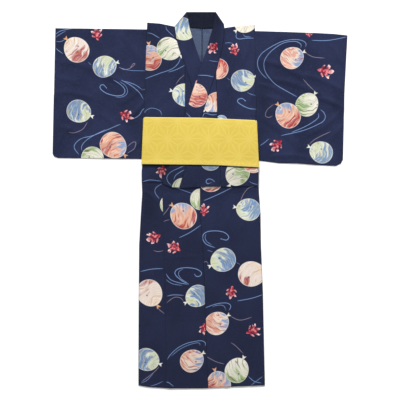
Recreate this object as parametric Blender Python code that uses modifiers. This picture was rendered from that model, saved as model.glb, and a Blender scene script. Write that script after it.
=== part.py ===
"""A cotton yukata robe with its belt, laid flat with the arms out.

The robe lies on its back on the ground, z = 0. +X is to the right of whoever
looks down on it, +Y runs from hem to collar, and +Z is up. The wearer's left
is therefore at +X. Every sewn piece is its own closed wall of cloth, and the
pieces lie on each other as the real ones do:

  body panels   one length of cloth each, from the back hem over the shoulder
                to the front hem, with the tuck at the waist folded in
  overlaps      the narrow front strips (okumi), tucked in the same way
  collar        a band on each front edge and a stand behind the neck
  sleeves       bags of two walls, open at the hand, the armhole and below it
  belt          a flattened band round the waist (obi)

A panel is a strip. Its rows follow named lines across the garment, each row
has a height, and the seams at its two ends come from short tables.
Lengths in the tables are millimetres.
"""

import math

import bmesh
import bpy
import numpy as np

MM = 0.001

# Driving sizes
WALL = 1.0                # cotton panel
GAP = 0.35                # air between two walls that lie on each other
PITCH = WALL + GAP
COLLAR_WALL = 1.6         # the band is cloth folded in four
BELT_WALL = 1.5
SEAM = 0.3                # air between two panels sewn edge to edge
TUCK_TOP = 184.0          # where the tuck turns back, under the belt
COLLAR_LIFT = (COLLAR_WALL - WALL) / 2
TURN_STEPS = 4            # flats in a half turn of a panel
FLATTENED = 0.04          # what lies lower than this is pressed flat on the ground

# Heights of the middle of each layer
GROUND_LAYER = WALL / 2
SECOND_LAYER = GROUND_LAYER + PITCH
THIRD_LAYER = GROUND_LAYER + 2 * PITCH
BELT_LAYER = BELT_WALL / 2
BELT_STEP = BELT_WALL + GAP     # what the belt's back run lifts above it
LEFT_CHEST = 5.15               # left front where it crosses the right one
TUCK_LEFT = 9.2                 # left front's inmost layer below the belt
TUCK_RIGHT = 4.55
TUCK_BACK = THIRD_LAYER

# Lines across the garment: (x, y)
LINES = {
    "level": ((-600, 0), (600, 0)),
    "shoulder": ((-200, 673.5), (-152, 670), (-96, 658), (8, 659), (93, 653),
                 (140, 660), (208, 666.5)),
    "belt_top": ((-214.7, 316.2), (0, 314), (215.8, 304.4)),
    "belt_bottom": ((-221.9, 135.7), (0, 133.4), (60, 132), (223.8, 123.5)),
    "tuck_right": ((-220, 67), (150, 64)),
    "tuck_left": ((-141, 60.8), (-108, 47.5), (-76, 45.8), (0, 50), (120, 51), (220, 54)),
    "tuck_back": ((-220, 62), (220, 60)),
    "hem": ((-234, -703.8), (-190, -710.5), (-114, -715.2), (8, -715.2), (153, -706.8),
            (246, -703.8)),
}
UNDER_BELT_EDGE = -3      # from the belt's bottom line: still lifted by its back run
CLEAR_OF_BELT = -28       # from the same line: down on what lies beneath again
BELT_DESCENT = ((2, 1), (10, 0.7), (28, 0))     # (offset from the belt's top, share of its lift)
CENTRE_SEAM = 8.4
MIDDLE = (-0.3, -0.5)     # the robe's middle in the tables' frame, which becomes the origin

# Side edges of the fronts, and of the whole skirt: (y, x)
SIDE_RIGHT = ((674, -200.3), (568, -205.2), (350, -212), (316, -211.3), (136, -218.5),
              (112, -221.5), (61, -220.8), (14, -218.9), (-57, -225), (-110, -228.4),
              (-171, -231), (-456, -233.3), (-704, -233.7))
SIDE_LEFT = ((667, 208.2), (494, 210.9), (345, 214.7), (316, 212), (124, 220.4),
             (100, 222.8), (61, 220.8), (44, 222.7), (-23, 226.9), (-50, 229.5),
             (-171, 231), (-209, 232.6), (-312, 237.9), (-704, 246.2))
# Side edges of the backs above the belt, which stop at the sleeves: (y, x)
BACK_SIDE_RIGHT = ((674, -200.3), (653.5, -200.6), (651, -192.4), (517, -199.8),
                   (326.5, -204.9), (316, -211.3), (136, -218.5))
BACK_SIDE_LEFT = ((667, 208.2), (647.5, 208.2), (645, 200.6), (494, 203.3),
                  (314.8, 206.8), (306, 212), (124, 220.4))
BACK_EDGE_FOOT = 126      # below this the backs end where the fronts do
BACK_ROWS = (399, 517, 600)
# The backs step in to the sleeves' tops here: offsets from the shoulder line
RIGHT_STEP = (-26, -22.4, -20, -14)
LEFT_STEP = (-26, -21.4, -19, -14)

# Front edges and seams at the wearer's left, which lies on top: (y, x)
LEFT_COLLAR_EDGE = ((714.2, 58.3), (652, 49), (614, 36.5), (568, 24.7), (517, 6.1),
                    (485, -4.6), (399, -33.4), (350, -47.9), (315, -58.9), (274, -71.4),
                    (198, -96.1), (133, -117), (61, -140.6))
LEFT_COLLAR_SEAM = ((714.2, 59.2), (668, 90.8), (652, 92.7), (614, 90.4), (568, 82.5),
                    (517, 68.8), (485, 60.8), (399, 32.3), (350, 16.7), (315, 6),
                    (274, -6.8), (198, -30.8), (133, -51.3), (85, -67.3), (48, -77.9))
LEFT_OKUMI_SEAM = ((485, 60.8), (399, 63.8), (315, 66.1), (198, 72.2), (133, 76), (48, 79.8))
LEFT_SKIRT_EDGE = ((TUCK_TOP, -110.2), (48, -145.2), (0, -142.5), (-152, -136.8),
                   (-342, -133), (-704, -127.3))
LEFT_SKIRT_SEAM = ((TUCK_TOP, 39.9), (48, 0.4), (-46, 0.4), (-152, 10.3), (-342, 17.5),
                   (-704, 30.5))

# Front edges and seams at the wearer's right, hidden past the crossing: (y, x)
RIGHT_COLLAR_EDGE = ((714.2, -49.2), (652, -39.1), (614, -27.4), (568, -12.9), (517, 6.1),
                     (485, 16.7), (399, 45.6), (350, 60), (315, 71.1), (274, 83.6),
                     (198, 108.3), (133, 129.2), (66, 150.9))
RIGHT_COLLAR_SEAM = ((714.2, -50), (683, -77.1), (658, -96.3), (614, -89.7), (568, -77.1),
                     (517, -57.4), (485, -48.6), (399, -20.1), (350, -4.6), (315, 4.6),
                     (274, 19), (198, 42.9), (133, 63.5), (66, 84.7))
RIGHT_OKUMI_SEAM = ((517, -57.4), (510, -56.2), (315, -56.2), (66, -53.2))
RIGHT_SKIRT_EDGE = ((TUCK_TOP, 121.6), (66, 159.6), (-704, 167))
RIGHT_SKIRT_SEAM = ((TUCK_TOP, -22.8), (66, 7.6), (-704, 15))

# The neckline dips below the shoulder line: (x, dip)
NECKLINE = ((-96.5, 1.7), (-66, 3.6), (-34, 6), (8.4, 10), (51, 6), (72, 3.6), (93, 1.7))

# The inmost layers come down beside the tuck's lower fold: (y, share of the drop)
DROP = ((58, 0), (43, 0.5), (28, 1))
SKIRT_ROWS = (-50, -171, -342, -530)
FRONT_START = (-10, -26)  # first rows of the fronts, from the shoulder line
TUCK_FOLD_RIGHT = 66      # y at which a seam turns back into the tuck
TUCK_FOLD_LEFT = 50
OKUMI_START = 8           # an okumi begins this far below its pointed tip
BODY_COLUMNS = 5
OKUMI_COLUMNS = 3
COLLAR_COLUMNS = 2

# Heights of the fronts from the shoulder down to the tuck: (y, height)
LEFT_LEVELS = ((614, THIRD_LAYER), (568, 4.3), (517, LEFT_CHEST), (485, LEFT_CHEST),
               (399, LEFT_CHEST), (350, LEFT_CHEST), (315, 6.3), (274, 10.0),
               (198, 13.75))
RIGHT_LEVELS = ((614, THIRD_LAYER), (568, THIRD_LAYER), (517, THIRD_LAYER),
                (485, THIRD_LAYER), (399, THIRD_LAYER), (350, THIRD_LAYER), (315, 4.2),
                (274, 6.9), (198, 9.1))

# The bands behind the shoulder line, and their last rows at the tuck's fold
COLLAR_NECK = ((714, 2.8), (700, 2.8), (683, 2.8), (668, 3.0),
               (655, THIRD_LAYER + COLLAR_LIFT))
COLLAR_FOOT = ((3, 0), (1, -0.25))              # (offset from the fold, height)

# Sleeves: edges as (y, x) down the sides and (x, y) along the top and bottom
SLEEVE_RIGHT = {
    "outer": ((651.7, -549.1), (176, -559), (165.7, -554), (160.4, -539.6)),
    "inner": ((647, -193), (524, -200.3), (329, -205.4), (318.4, -215.6), (157, -222.2)),
    "top": ((-549, 651.7), (-201, 647.1)),
    "bottom": ((-539.6, 160.4), (-222, 156.6)),
    "rows": (0, 0.25, 0.514, 0.649, 0.671, 0.85, 0.968, 0.989, 1),
}
SLEEVE_LEFT = {
    "outer": ((624.3, 559.7), (399, 547.6), (154.3, 541.9), (138.7, 534.3), (130, 516)),
    "inner": ((641, 201), (494, 203.7), (328, 207.2), (317, 217.2), (150, 228)),
    "top": ((201, 641.5), (291, 638.8), (436, 633.8), (509, 630), (559.7, 624.3)),
    "bottom": ((228, 150.1), (300, 140.6), (373, 139.5), (438.5, 133.8), (516, 130)),
    "rows": (0, 0.25, 0.456, 0.637, 0.660, 0.80, 0.951, 0.982, 1),
}
MOUTH_ROW = 2             # the hand opening runs from the top to this row
SLEEVE_COLUMNS = 6

# The belt: (line, offset, height of the front run's middle)
BELT_ROWS = (
    ("belt_top", 0, 8.5), ("belt_top", -14, 10.2), ("level", 274, 12.3),
    ("level", 240, 14.4), ("level", 198, 16.0), ("level", 165, 16.2),
    ("belt_bottom", 12, 16.1), ("belt_bottom", 0, 15.9),
)
BELT_EDGE_LEFT_OF_VIEW = ((316.2, -214.7), (135.7, -221.9))
BELT_EDGE_RIGHT_OF_VIEW = ((304.4, 215.8), (123.5, 223.8))
BELT_EDGE_X = 218         # where the height of the belt's sides is read
BELT_CORNER = 2.25
CORNER_STEPS = 3
BELT_RUN_COLUMNS = 5

# Collar stand behind the neck: (x, top y)
STAND_TOP = ((-95.6, 660), (-77, 683), (-49.4, 714.2), (58.4, 714.2), (90, 668), (92, 656))
STAND_MIDDLE = (-20, CENTRE_SEAM, 34)
STAND_ROWS = 2

# Colours: (red, green, blue), roughness
COTTON = ((0.024, 0.030, 0.075), 0.85)
COTTON_PRINT = ((0.030, 0.038, 0.095), 0.85)
COLLAR_COTTON = ((0.018, 0.023, 0.060), 0.85)
BELT_WEAVE = ((0.80, 0.62, 0.10), 0.6)


def table(pairs, value):
    """Read a two-column table at a value, whichever way its first column runs."""
    columns = np.array(sorted(pairs), dtype=float)
    return np.interp(value, columns[:, 0], columns[:, 1])


def line_y(line, x, offset):
    return table(LINES[line], x) + offset


def half_turn(line, edge, start, end, outward):
    """Rows of a half turn from one height to another, its tip on a line."""
    radius = abs(end - start) / 2
    rows = []
    for step in range(TURN_STEPS + 1):
        angle = math.pi * step / TURN_STEPS
        height = (start + end) / 2 + (start - end) / 2 * math.cos(angle)
        rows.append((line, edge + outward * radius * (math.sin(angle) - 1), height))
    return rows


def strip(rows, near, far, columns):
    """Points of a strip: row by row from the near seam to the far seam.

    near and far are functions that give x for a row's number and its y.
    """
    share = np.linspace(0, 1, columns + 1)
    points = []
    for number, (line, offset, height) in enumerate(rows):
        ends = []
        for seam in (near, far):
            x = 0
            for _ in range(3):
                x = seam(number, line_y(line, x, offset))
            ends.append(x)
        x = ends[0] + share * (ends[1] - ends[0])
        points.append(np.column_stack([x, line_y(line, x, offset), np.full_like(x, height)]))
    return np.array(points)


def material(name, finish):
    colour, roughness = finish
    made = bpy.data.materials.new(name)
    made.use_nodes = True
    shader = made.node_tree.nodes["Principled BSDF"]
    shader.inputs["Base Color"].default_value = (*colour, 1)
    shader.inputs["Roughness"].default_value = roughness
    shader.inputs["Metallic"].default_value = 0
    return made


def rest_on_ground(piece):
    """Apply the thickness and press the underside flat onto the ground."""
    evaluated = piece.evaluated_get(bpy.context.evaluated_depsgraph_get())
    mesh = bpy.data.meshes.new_from_object(evaluated)
    points = np.empty(len(mesh.vertices) * 3)
    mesh.vertices.foreach_get("co", points)
    points = points.reshape(-1, 3)
    points[points[:, 2] < FLATTENED * MM, 2] = 0
    mesh.vertices.foreach_set("co", points.ravel())
    piece.modifiers.clear()
    piece.data = mesh
    mesh.name = piece.name


def wall(name, vertices, faces, thickness, finish, collection):
    """A closed wall of cloth from its middle surface."""
    mesh = bpy.data.meshes.new(name)
    middle = np.array([*MIDDLE, 0])
    mesh.from_pydata([tuple(point) for point in (np.asarray(vertices) - middle) * MM], [], faces)
    cage = bmesh.new()
    cage.from_mesh(mesh)
    bmesh.ops.recalc_face_normals(cage, faces=cage.faces)
    cage.to_mesh(mesh)
    cage.free()
    mesh.materials.append(material(name + "_cloth", finish))
    piece = bpy.data.objects.new(name, mesh)
    collection.objects.link(piece)
    solidify = piece.modifiers.new("cloth thickness", "SOLIDIFY")
    solidify.thickness = thickness * MM
    solidify.offset = 0
    solidify.use_even_offset = True
    rest_on_ground(piece)
    return piece


def grid_faces(rows, columns, closed=False):
    """Quads of a grid of points; closed joins the last row to the first."""
    faces = []
    for row in range(rows if closed else rows - 1):
        after = (row + 1) % rows
        for column in range(columns - 1):
            faces.append((row * columns + column, row * columns + column + 1,
                          after * columns + column + 1, after * columns + column))
    return faces


def panel(name, points, finish, collection, thickness=WALL):
    rows, columns = points.shape[:2]
    return wall(name, points.reshape(-1, 3), grid_faces(rows, columns), thickness, finish,
                collection)


def tucked_rows(levels, line, inmost, drop_to):
    """Rows of a front from the belt down through the tuck to the hem.

    The outer layer comes down to the tuck's lower fold, the middle layer
    climbs back under the belt, and the inmost layer runs down to the hem.
    """
    middle = inmost + PITCH
    outer = inmost + 2 * PITCH
    rows = [("level", y, height) for y, height in levels]
    rows += [("belt_bottom", UNDER_BELT_EDGE, outer + BELT_STEP),
             ("belt_bottom", CLEAR_OF_BELT, outer)]
    rows += half_turn(line, 0, outer, middle, -1)
    lower_fold = len(rows)
    rows += [("belt_bottom", CLEAR_OF_BELT, middle),
             ("belt_bottom", UNDER_BELT_EDGE, middle + BELT_STEP)]
    rows += half_turn("level", TUCK_TOP, middle + BELT_STEP, inmost + BELT_STEP, 1)
    upper_fold = len(rows)
    rows += [("belt_bottom", UNDER_BELT_EDGE, inmost + BELT_STEP),
             ("belt_bottom", CLEAR_OF_BELT, inmost)]
    rows += [("level", y, inmost + share * (drop_to - inmost)) for y, share in DROP]
    rows += [("level", y, drop_to) for y in SKIRT_ROWS]
    rows += [("hem", 0, drop_to)]
    return rows, lower_fold, upper_fold


def run_seam(chest, skirt, fold_y, lower_fold, upper_fold, shift=0.0):
    """x of a seam that runs down the chest, through the tuck and down the skirt."""
    at_lower = table(chest, fold_y)
    at_upper = table(skirt, TUCK_TOP)

    def seam(number, y):
        if number < lower_fold:
            return table(chest, y) + shift
        if number < upper_fold:
            climbed = np.clip((y - fold_y) / (TUCK_TOP - fold_y), 0, 1)
            return at_lower + (at_upper - at_lower) * climbed + shift
        return table(skirt, y) + shift
    return seam


def back_rows(step_in):
    """Rows of a back panel from the hem up to the neckline's inner end."""
    inmost = TUCK_BACK
    rows = [("hem", 0, GROUND_LAYER)]
    rows += [("level", y, GROUND_LAYER) for y in reversed(SKIRT_ROWS)]
    rows += [("level", y, inmost + share * (GROUND_LAYER - inmost))
             for y, share in reversed(DROP)]
    rows += [("belt_bottom", CLEAR_OF_BELT, inmost),
             ("belt_bottom", UNDER_BELT_EDGE, inmost + BELT_STEP)]
    rows += half_turn("level", TUCK_TOP, inmost + BELT_STEP, SECOND_LAYER + BELT_STEP, 1)
    rows += [("belt_bottom", UNDER_BELT_EDGE, SECOND_LAYER + BELT_STEP),
             ("belt_bottom", CLEAR_OF_BELT, SECOND_LAYER)]
    rows += half_turn("tuck_back", 0, SECOND_LAYER, GROUND_LAYER, -1)
    rows += [("belt_bottom", CLEAR_OF_BELT, GROUND_LAYER),
             ("belt_bottom", UNDER_BELT_EDGE, GROUND_LAYER + BELT_STEP),
             ("level", 198, GROUND_LAYER + BELT_STEP)]
    rows += [("belt_top", offset, GROUND_LAYER + BELT_STEP * lift)
             for offset, lift in BELT_DESCENT]
    rows += [("level", y, GROUND_LAYER) for y in BACK_ROWS]
    rows += [("shoulder", offset, GROUND_LAYER) for offset in step_in]
    return rows


def body_panel(name, side, back_side, centre, okumi_seam, collar_seam, skirt_seam,
               step_in, levels, line, inmost, drop_to, fold_y, collection):
    """One body panel: back hem, shoulder, front, tuck and front hem."""
    toward_side = math.copysign(1, side[0][1])
    back = back_rows(step_in)
    half_neck = sorted((pair for pair in NECKLINE if toward_side * (pair[0] - CENTRE_SEAM) >= 0),
                       key=lambda pair: abs(pair[0] - CENTRE_SEAM))
    neck = [("shoulder", -dip, GROUND_LAYER) for _, dip in half_neck]
    neck_x = [centre] + [x for x, _ in half_neck[1:]]
    over = half_turn("shoulder", 0, GROUND_LAYER, THIRD_LAYER, 1)
    front, lower_fold, upper_fold = tucked_rows(levels, line, inmost, drop_to)
    front = [("shoulder", offset, THIRD_LAYER) for offset in FRONT_START] + front
    lower_fold += len(FRONT_START)
    upper_fold += len(FRONT_START)
    chest = tuple(pair for pair in collar_seam if pair[0] > okumi_seam[0][0]) + okumi_seam
    front_seam = run_seam(chest, skirt_seam, fold_y, lower_fold, upper_fold,
                          toward_side * SEAM)
    start_neck = len(back)
    start_over = start_neck + len(neck)
    start_front = start_over + len(over)
    shoulder_end = table(collar_seam, line_y("shoulder", collar_seam[2][1], 0))

    def inner(number, y):
        if number < start_neck:
            return centre
        if number < start_over:
            return neck_x[number - start_neck]
        if number < start_front:
            return shoulder_end + toward_side * SEAM
        return front_seam(number - start_front, y)

    def outer(number, y):
        if number < start_front and y > BACK_EDGE_FOOT:
            return table(back_side if number < start_over else side, y)
        return table(side, y)

    points = strip(back + neck + over + front, inner, outer, BODY_COLUMNS)
    return panel(name, points, COTTON_PRINT, collection)


def okumi(name, chest_edge, skirt_edge, okumi_seam, skirt_seam, levels, line, inmost,
          drop_to, fold_y, toward_side, collection):
    """The narrow front strip between collar and body, tucked like the body."""
    start = okumi_seam[0][0]
    rows, lower_fold, upper_fold = tucked_rows(
        tuple(pair for pair in levels if pair[0] < start), line, inmost, drop_to)
    rows = [("level", start - OKUMI_START, table(levels, start - OKUMI_START))] + rows
    lower_fold += 1
    upper_fold += 1
    edge = run_seam(chest_edge, skirt_edge, fold_y, lower_fold, upper_fold,
                    toward_side * SEAM)
    seam = run_seam(okumi_seam, skirt_seam, fold_y, lower_fold, upper_fold)
    return panel(name, strip(rows, edge, seam, OKUMI_COLUMNS), COTTON, collection)


def collar_band(name, edge, seam, levels, line, outer_level, collection):
    """The band on one front edge, from the neck fold down to the tuck."""
    rows = [("level", y, height) for y, height in COLLAR_NECK]
    rows += [("level", y, height + COLLAR_LIFT) for y, height in levels]
    top = outer_level + COLLAR_LIFT
    rows += [("belt_bottom", UNDER_BELT_EDGE, top + BELT_STEP),
             ("belt_bottom", CLEAR_OF_BELT, top)]
    rows += [(line, offset, top + height) for offset, height in COLLAR_FOOT]
    points = strip(rows, lambda number, y: table(edge, y), lambda number, y: table(seam, y),
                   COLLAR_COLUMNS)
    return panel(name, points, COLLAR_COTTON, collection, COLLAR_WALL)


def collar_stand(collection):
    """The stand behind the neck, on the ground between the two bands."""
    x = np.array(sorted([pair[0] for pair in STAND_TOP] + list(STAND_MIDDLE)))
    top = table(STAND_TOP, x)
    bottom = line_y("shoulder", x, SEAM) - table(NECKLINE, x)
    share = np.linspace(0, 1, STAND_ROWS + 1)[:, None]
    y = top + share * (bottom - top)
    points = np.stack([np.broadcast_to(x, y.shape), y, np.full_like(y, COLLAR_WALL / 2)], axis=2)
    return panel("collar_back", points, COLLAR_COTTON, collection, COLLAR_WALL)


def sleeve(name, edges, collection):
    """A bag: two walls that turn into each other at the top, at the bottom
    and at the outer edge below the hand opening."""
    rows = np.array(edges["rows"], dtype=float)[:, None]
    across = np.linspace(0, 1, SLEEVE_COLUMNS + 1)[None, :]
    ends = {}
    for side, first in (("outer", edges["outer"]), ("inner", edges["inner"])):
        y = first[0][0] + rows * (first[-1][0] - first[0][0])
        ends[side] = (table(first, y), y)
    x = ends["outer"][0] + across * (ends["inner"][0] - ends["outer"][0])
    y = ends["outer"][1] + across * (ends["inner"][1] - ends["outer"][1])
    top_bow = table(edges["top"], x[0]) - y[0]
    bottom_bow = table(edges["bottom"], x[-1]) - y[-1]
    y = y + (1 - rows) * top_bow + rows * bottom_bow
    lower = np.stack([x, y, np.full_like(x, GROUND_LAYER)], axis=2)
    upper = np.stack([x, y, np.full_like(x, SECOND_LAYER)], axis=2)
    half = PITCH / 2
    middle = (GROUND_LAYER + SECOND_LAYER) / 2
    bottom_turn = np.stack([x[-1], y[-1] - half, np.full_like(x[-1], middle)], axis=1)[None]
    top_turn = np.stack([x[0], y[0] + half, np.full_like(x[0], middle)], axis=1)[None]
    ring = np.concatenate([lower, bottom_turn, upper[::-1], top_turn])
    loops, columns = ring.shape[:2]
    vertices = list(ring.reshape(-1, 3))
    faces = grid_faces(loops, columns, closed=True)
    away = math.copysign(half, edges["outer"][0][1])
    count = len(rows)
    bulge = {}
    for row in range(MOUTH_ROW, count - 1):
        bulge[row] = len(vertices)
        vertices.append(np.array([x[row, 0] + away, y[row, 0], middle]))
    bulge[count - 1] = count * columns
    for row in range(MOUTH_ROW, count - 1):
        below = row * columns
        above = (2 * count - row) * columns
        faces.append((below, below + columns, bulge[row + 1], bulge[row]))
        faces.append((bulge[row], bulge[row + 1], above - columns, above))
    return wall(name, vertices, faces, WALL, COTTON_PRINT, collection)


def belt(collection):
    """The belt: a flattened ring round the waist, its back run on the ground."""
    rings = []
    for line, offset, front in BELT_ROWS:
        left_y = line_y(line, -BELT_EDGE_X, offset)
        right_y = line_y(line, BELT_EDGE_X, offset)
        left = table(BELT_EDGE_LEFT_OF_VIEW, left_y) + BELT_WALL / 2
        right = table(BELT_EDGE_RIGHT_OF_VIEW, right_y) - BELT_WALL / 2
        ring = []
        corners = ((left, BELT_LAYER, 1, 1, 270), (left, front, 1, -1, 180),
                   (right, front, -1, -1, 90), (right, BELT_LAYER, -1, 1, 0))
        for x, z, inward_x, inward_z, start in corners:
            for step in range(CORNER_STEPS + 1):
                angle = math.radians(start - 90 * step / CORNER_STEPS)
                ring.append((x + BELT_CORNER * (inward_x + math.cos(angle)),
                             z + BELT_CORNER * (inward_z + math.sin(angle))))
            if (x, z) == (left, front):
                for share in np.linspace(0, 1, BELT_RUN_COLUMNS + 1)[1:-1]:
                    span = right - left - 2 * BELT_CORNER
                    ring.append((left + BELT_CORNER + share * span, front))
        ring = np.array(ring)
        rings.append(np.column_stack([ring[:, 0], line_y(line, ring[:, 0], offset), ring[:, 1]]))
    points = np.array(rings).transpose(1, 0, 2)
    loops, columns = points.shape[:2]
    return wall("obi", points.reshape(-1, 3), grid_faces(loops, columns, closed=True),
                BELT_WALL, BELT_WEAVE, collection)


def build():
    for leftover in list(bpy.data.objects):
        bpy.data.objects.remove(leftover, do_unlink=True)
    robe = bpy.data.collections.new("cotton_yukata")
    bpy.context.scene.collection.children.link(robe)
    right = dict(levels=RIGHT_LEVELS, line="tuck_right", inmost=TUCK_RIGHT,
                 drop_to=SECOND_LAYER, fold_y=TUCK_FOLD_RIGHT, collection=robe)
    left = dict(levels=LEFT_LEVELS, line="tuck_left", inmost=TUCK_LEFT,
                drop_to=THIRD_LAYER, fold_y=TUCK_FOLD_LEFT, collection=robe)
    body_panel("body_right", SIDE_RIGHT, BACK_SIDE_RIGHT, CENTRE_SEAM - SEAM / 2,
               RIGHT_OKUMI_SEAM, RIGHT_COLLAR_SEAM, RIGHT_SKIRT_SEAM, RIGHT_STEP, **right)
    body_panel("body_left", SIDE_LEFT, BACK_SIDE_LEFT, CENTRE_SEAM + SEAM / 2,
               LEFT_OKUMI_SEAM, LEFT_COLLAR_SEAM, LEFT_SKIRT_SEAM, LEFT_STEP, **left)
    okumi("okumi_right", RIGHT_COLLAR_SEAM, RIGHT_SKIRT_EDGE, RIGHT_OKUMI_SEAM,
          RIGHT_SKIRT_SEAM, toward_side=-1, **right)
    okumi("okumi_left", LEFT_COLLAR_SEAM, LEFT_SKIRT_EDGE, LEFT_OKUMI_SEAM,
          LEFT_SKIRT_SEAM, toward_side=1, **left)
    collar_band("collar_right", RIGHT_COLLAR_EDGE, RIGHT_COLLAR_SEAM, RIGHT_LEVELS,
                "tuck_right", TUCK_RIGHT + 2 * PITCH, robe)
    collar_band("collar_left", LEFT_COLLAR_EDGE, LEFT_COLLAR_SEAM, LEFT_LEVELS,
                "tuck_left", TUCK_LEFT + 2 * PITCH, robe)
    collar_stand(robe)
    sleeve("sleeve_right", SLEEVE_RIGHT, robe)
    sleeve("sleeve_left", SLEEVE_LEFT, robe)
    belt(robe)


build()
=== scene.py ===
"""The looks of a cotton yukata robe and its belt, laid flat with the arms out.

Every sewn piece of the frame is replaced by a finer shell of the same form,
with soft creases and its own printed or woven cloth. The tables give the
robe's own sizes in millimetres. +X is the wearer's left, +Y the collar.
"""

import math

import bpy
import numpy as np
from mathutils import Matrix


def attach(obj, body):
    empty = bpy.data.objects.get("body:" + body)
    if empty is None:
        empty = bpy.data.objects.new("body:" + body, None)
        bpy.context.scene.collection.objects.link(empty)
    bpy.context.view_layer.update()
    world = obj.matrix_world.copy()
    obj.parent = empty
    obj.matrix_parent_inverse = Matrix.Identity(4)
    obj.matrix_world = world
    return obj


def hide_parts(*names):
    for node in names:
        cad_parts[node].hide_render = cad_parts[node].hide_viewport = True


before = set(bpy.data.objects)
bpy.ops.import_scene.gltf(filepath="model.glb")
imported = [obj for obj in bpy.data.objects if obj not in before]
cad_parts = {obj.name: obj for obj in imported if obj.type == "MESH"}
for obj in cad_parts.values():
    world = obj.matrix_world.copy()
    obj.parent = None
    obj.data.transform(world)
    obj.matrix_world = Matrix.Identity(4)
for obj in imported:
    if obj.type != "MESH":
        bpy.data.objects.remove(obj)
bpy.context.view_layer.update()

MM = 0.001
BODY = "root"

# Sizes of the cloth
WALL = 1.0                # room that each wall of cloth takes
GAP = 0.35                # clear room between two layers
PITCH = WALL + GAP
CLOTH = 0.8               # thickness of the shells that show
COLLAR_WALL = 1.6
COLLAR_CLOTH = 1.3
BELT_WALL = 1.5
BELT_CLOTH = 1.3
SEAM = 0.3                # clear room at a seam
TUCK_TOP = 184.0          # where the tuck's inner fold lies, under the belt
COLLAR_LIFT = (COLLAR_WALL - WALL) / 2
TURN_STEPS = 6            # steps of each half turn
MIDDLE = (-0.3, -0.5)     # the robe's middle in the tables' frame
VISIBLE_STEP = 4.5        # mesh size where the cloth shows from above
HIDDEN_STEP = 14.0        # mesh size on the side that lies down
SAME_ROW = 0.05           # rows closer than this are one row
CROSSING_ROUNDS = 3       # rounds in which a seam's crossing with a line is found
BODY_COLUMNS = 48
OKUMI_COLUMNS = 30
COLLAR_COLUMNS = 18
STAND_COLUMNS = 40
STAND_ROWS = 12
SLEEVE_COLUMNS = 80
SLEEVE_DEPTH = 490        # from shoulder to bottom, which sets a sleeve's rows
UNDERSIDE = 0.3           # its faces this far under its middle height lie down
BELT_RUN = 96             # columns across the front and the back of the belt
BELT_CORNER_STEPS = 6
BELT_MESH_STEP = 4.0

# Soft forms of the finer shells
SEAM_DIP = 0.35           # how far the cloth sinks in at a seam
SIDE_DROOP = 1.5          # how far the left front's side edge hangs down
GROOVE = 3.0              # width of the dip along a seam or an edge
AWAY = 50.0               # stands for clear of any seam
COLLAR_CROWN = 0.45
STAND_BOW = 0.25
TOP_INSET = 2.0           # the belt's upper edge is rolled in by this much
TOP_ROLL = 14             # and that dies out below it as exp(-distance / this)
CORNER_ROUND = 9.0        # radius of its upper corners, seen from above
LOWER_LIFT = 2.6          # the belt's lower edge stands proud by this much
BELT_FRONT = (4, 8)       # heights between which the belt's front begins
RAISED = (0.7, 1.8)       # heights between which the upper layers begin

# Heights of the middle of each layer
GROUND_LAYER = WALL / 2
SECOND_LAYER = GROUND_LAYER + PITCH
THIRD_LAYER = GROUND_LAYER + 2 * PITCH
BELT_LAYER = BELT_WALL / 2
BELT_STEP = BELT_WALL + GAP
LEFT_CHEST = 5.15
TUCK_LEFT = 9.2
TUCK_RIGHT = 4.55
TUCK_BACK = THIRD_LAYER

# Lines across the garment: (x, y)
LINES = {
    "level": ((-600, 0), (600, 0)),
    "shoulder": ((-200, 673.5), (-152, 670), (-96, 658), (8, 659), (93, 653),
                 (140, 660), (208, 666.5)),
    "belt_top": ((-214.7, 316.2), (0, 314), (215.8, 304.4)),
    "belt_bottom": ((-221.9, 135.7), (0, 133.4), (60, 132), (223.8, 123.5)),
    "tuck_right": ((-220, 67), (150, 64)),
    "tuck_left": ((-141, 60.8), (-108, 47.5), (-76, 45.8), (0, 50), (120, 51), (220, 54)),
    "tuck_back": ((-220, 62), (220, 60)),
    "hem": ((-234, -703.8), (-190, -710.5), (-114, -715.2), (8, -715.2), (153, -706.8),
            (246, -703.8)),
}
CENTRE_SEAM = 8.4

# Side edges of the fronts, and of the whole skirt: (y, x)
SIDE_RIGHT = ((674, -200.3), (568, -205.2), (350, -212), (316, -211.3), (136, -218.5),
              (112, -221.5), (61, -220.8), (14, -218.9), (-57, -225), (-110, -228.4),
              (-171, -231), (-456, -233.3), (-704, -233.7))
SIDE_LEFT = ((667, 208.2), (494, 210.9), (345, 214.7), (316, 212), (124, 220.4),
             (100, 222.8), (61, 220.8), (44, 222.7), (-23, 226.9), (-50, 229.5),
             (-171, 231), (-209, 232.6), (-312, 237.9), (-704, 246.2))
BACK_SIDE_RIGHT = ((674, -200.3), (653.5, -200.6), (651, -192.4), (517, -199.8),
                   (326.5, -204.9), (316, -211.3), (136, -218.5))
BACK_SIDE_LEFT = ((667, 208.2), (647.5, 208.2), (645, 200.6), (494, 203.3),
                  (314.8, 206.8), (306, 212), (124, 220.4))

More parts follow.
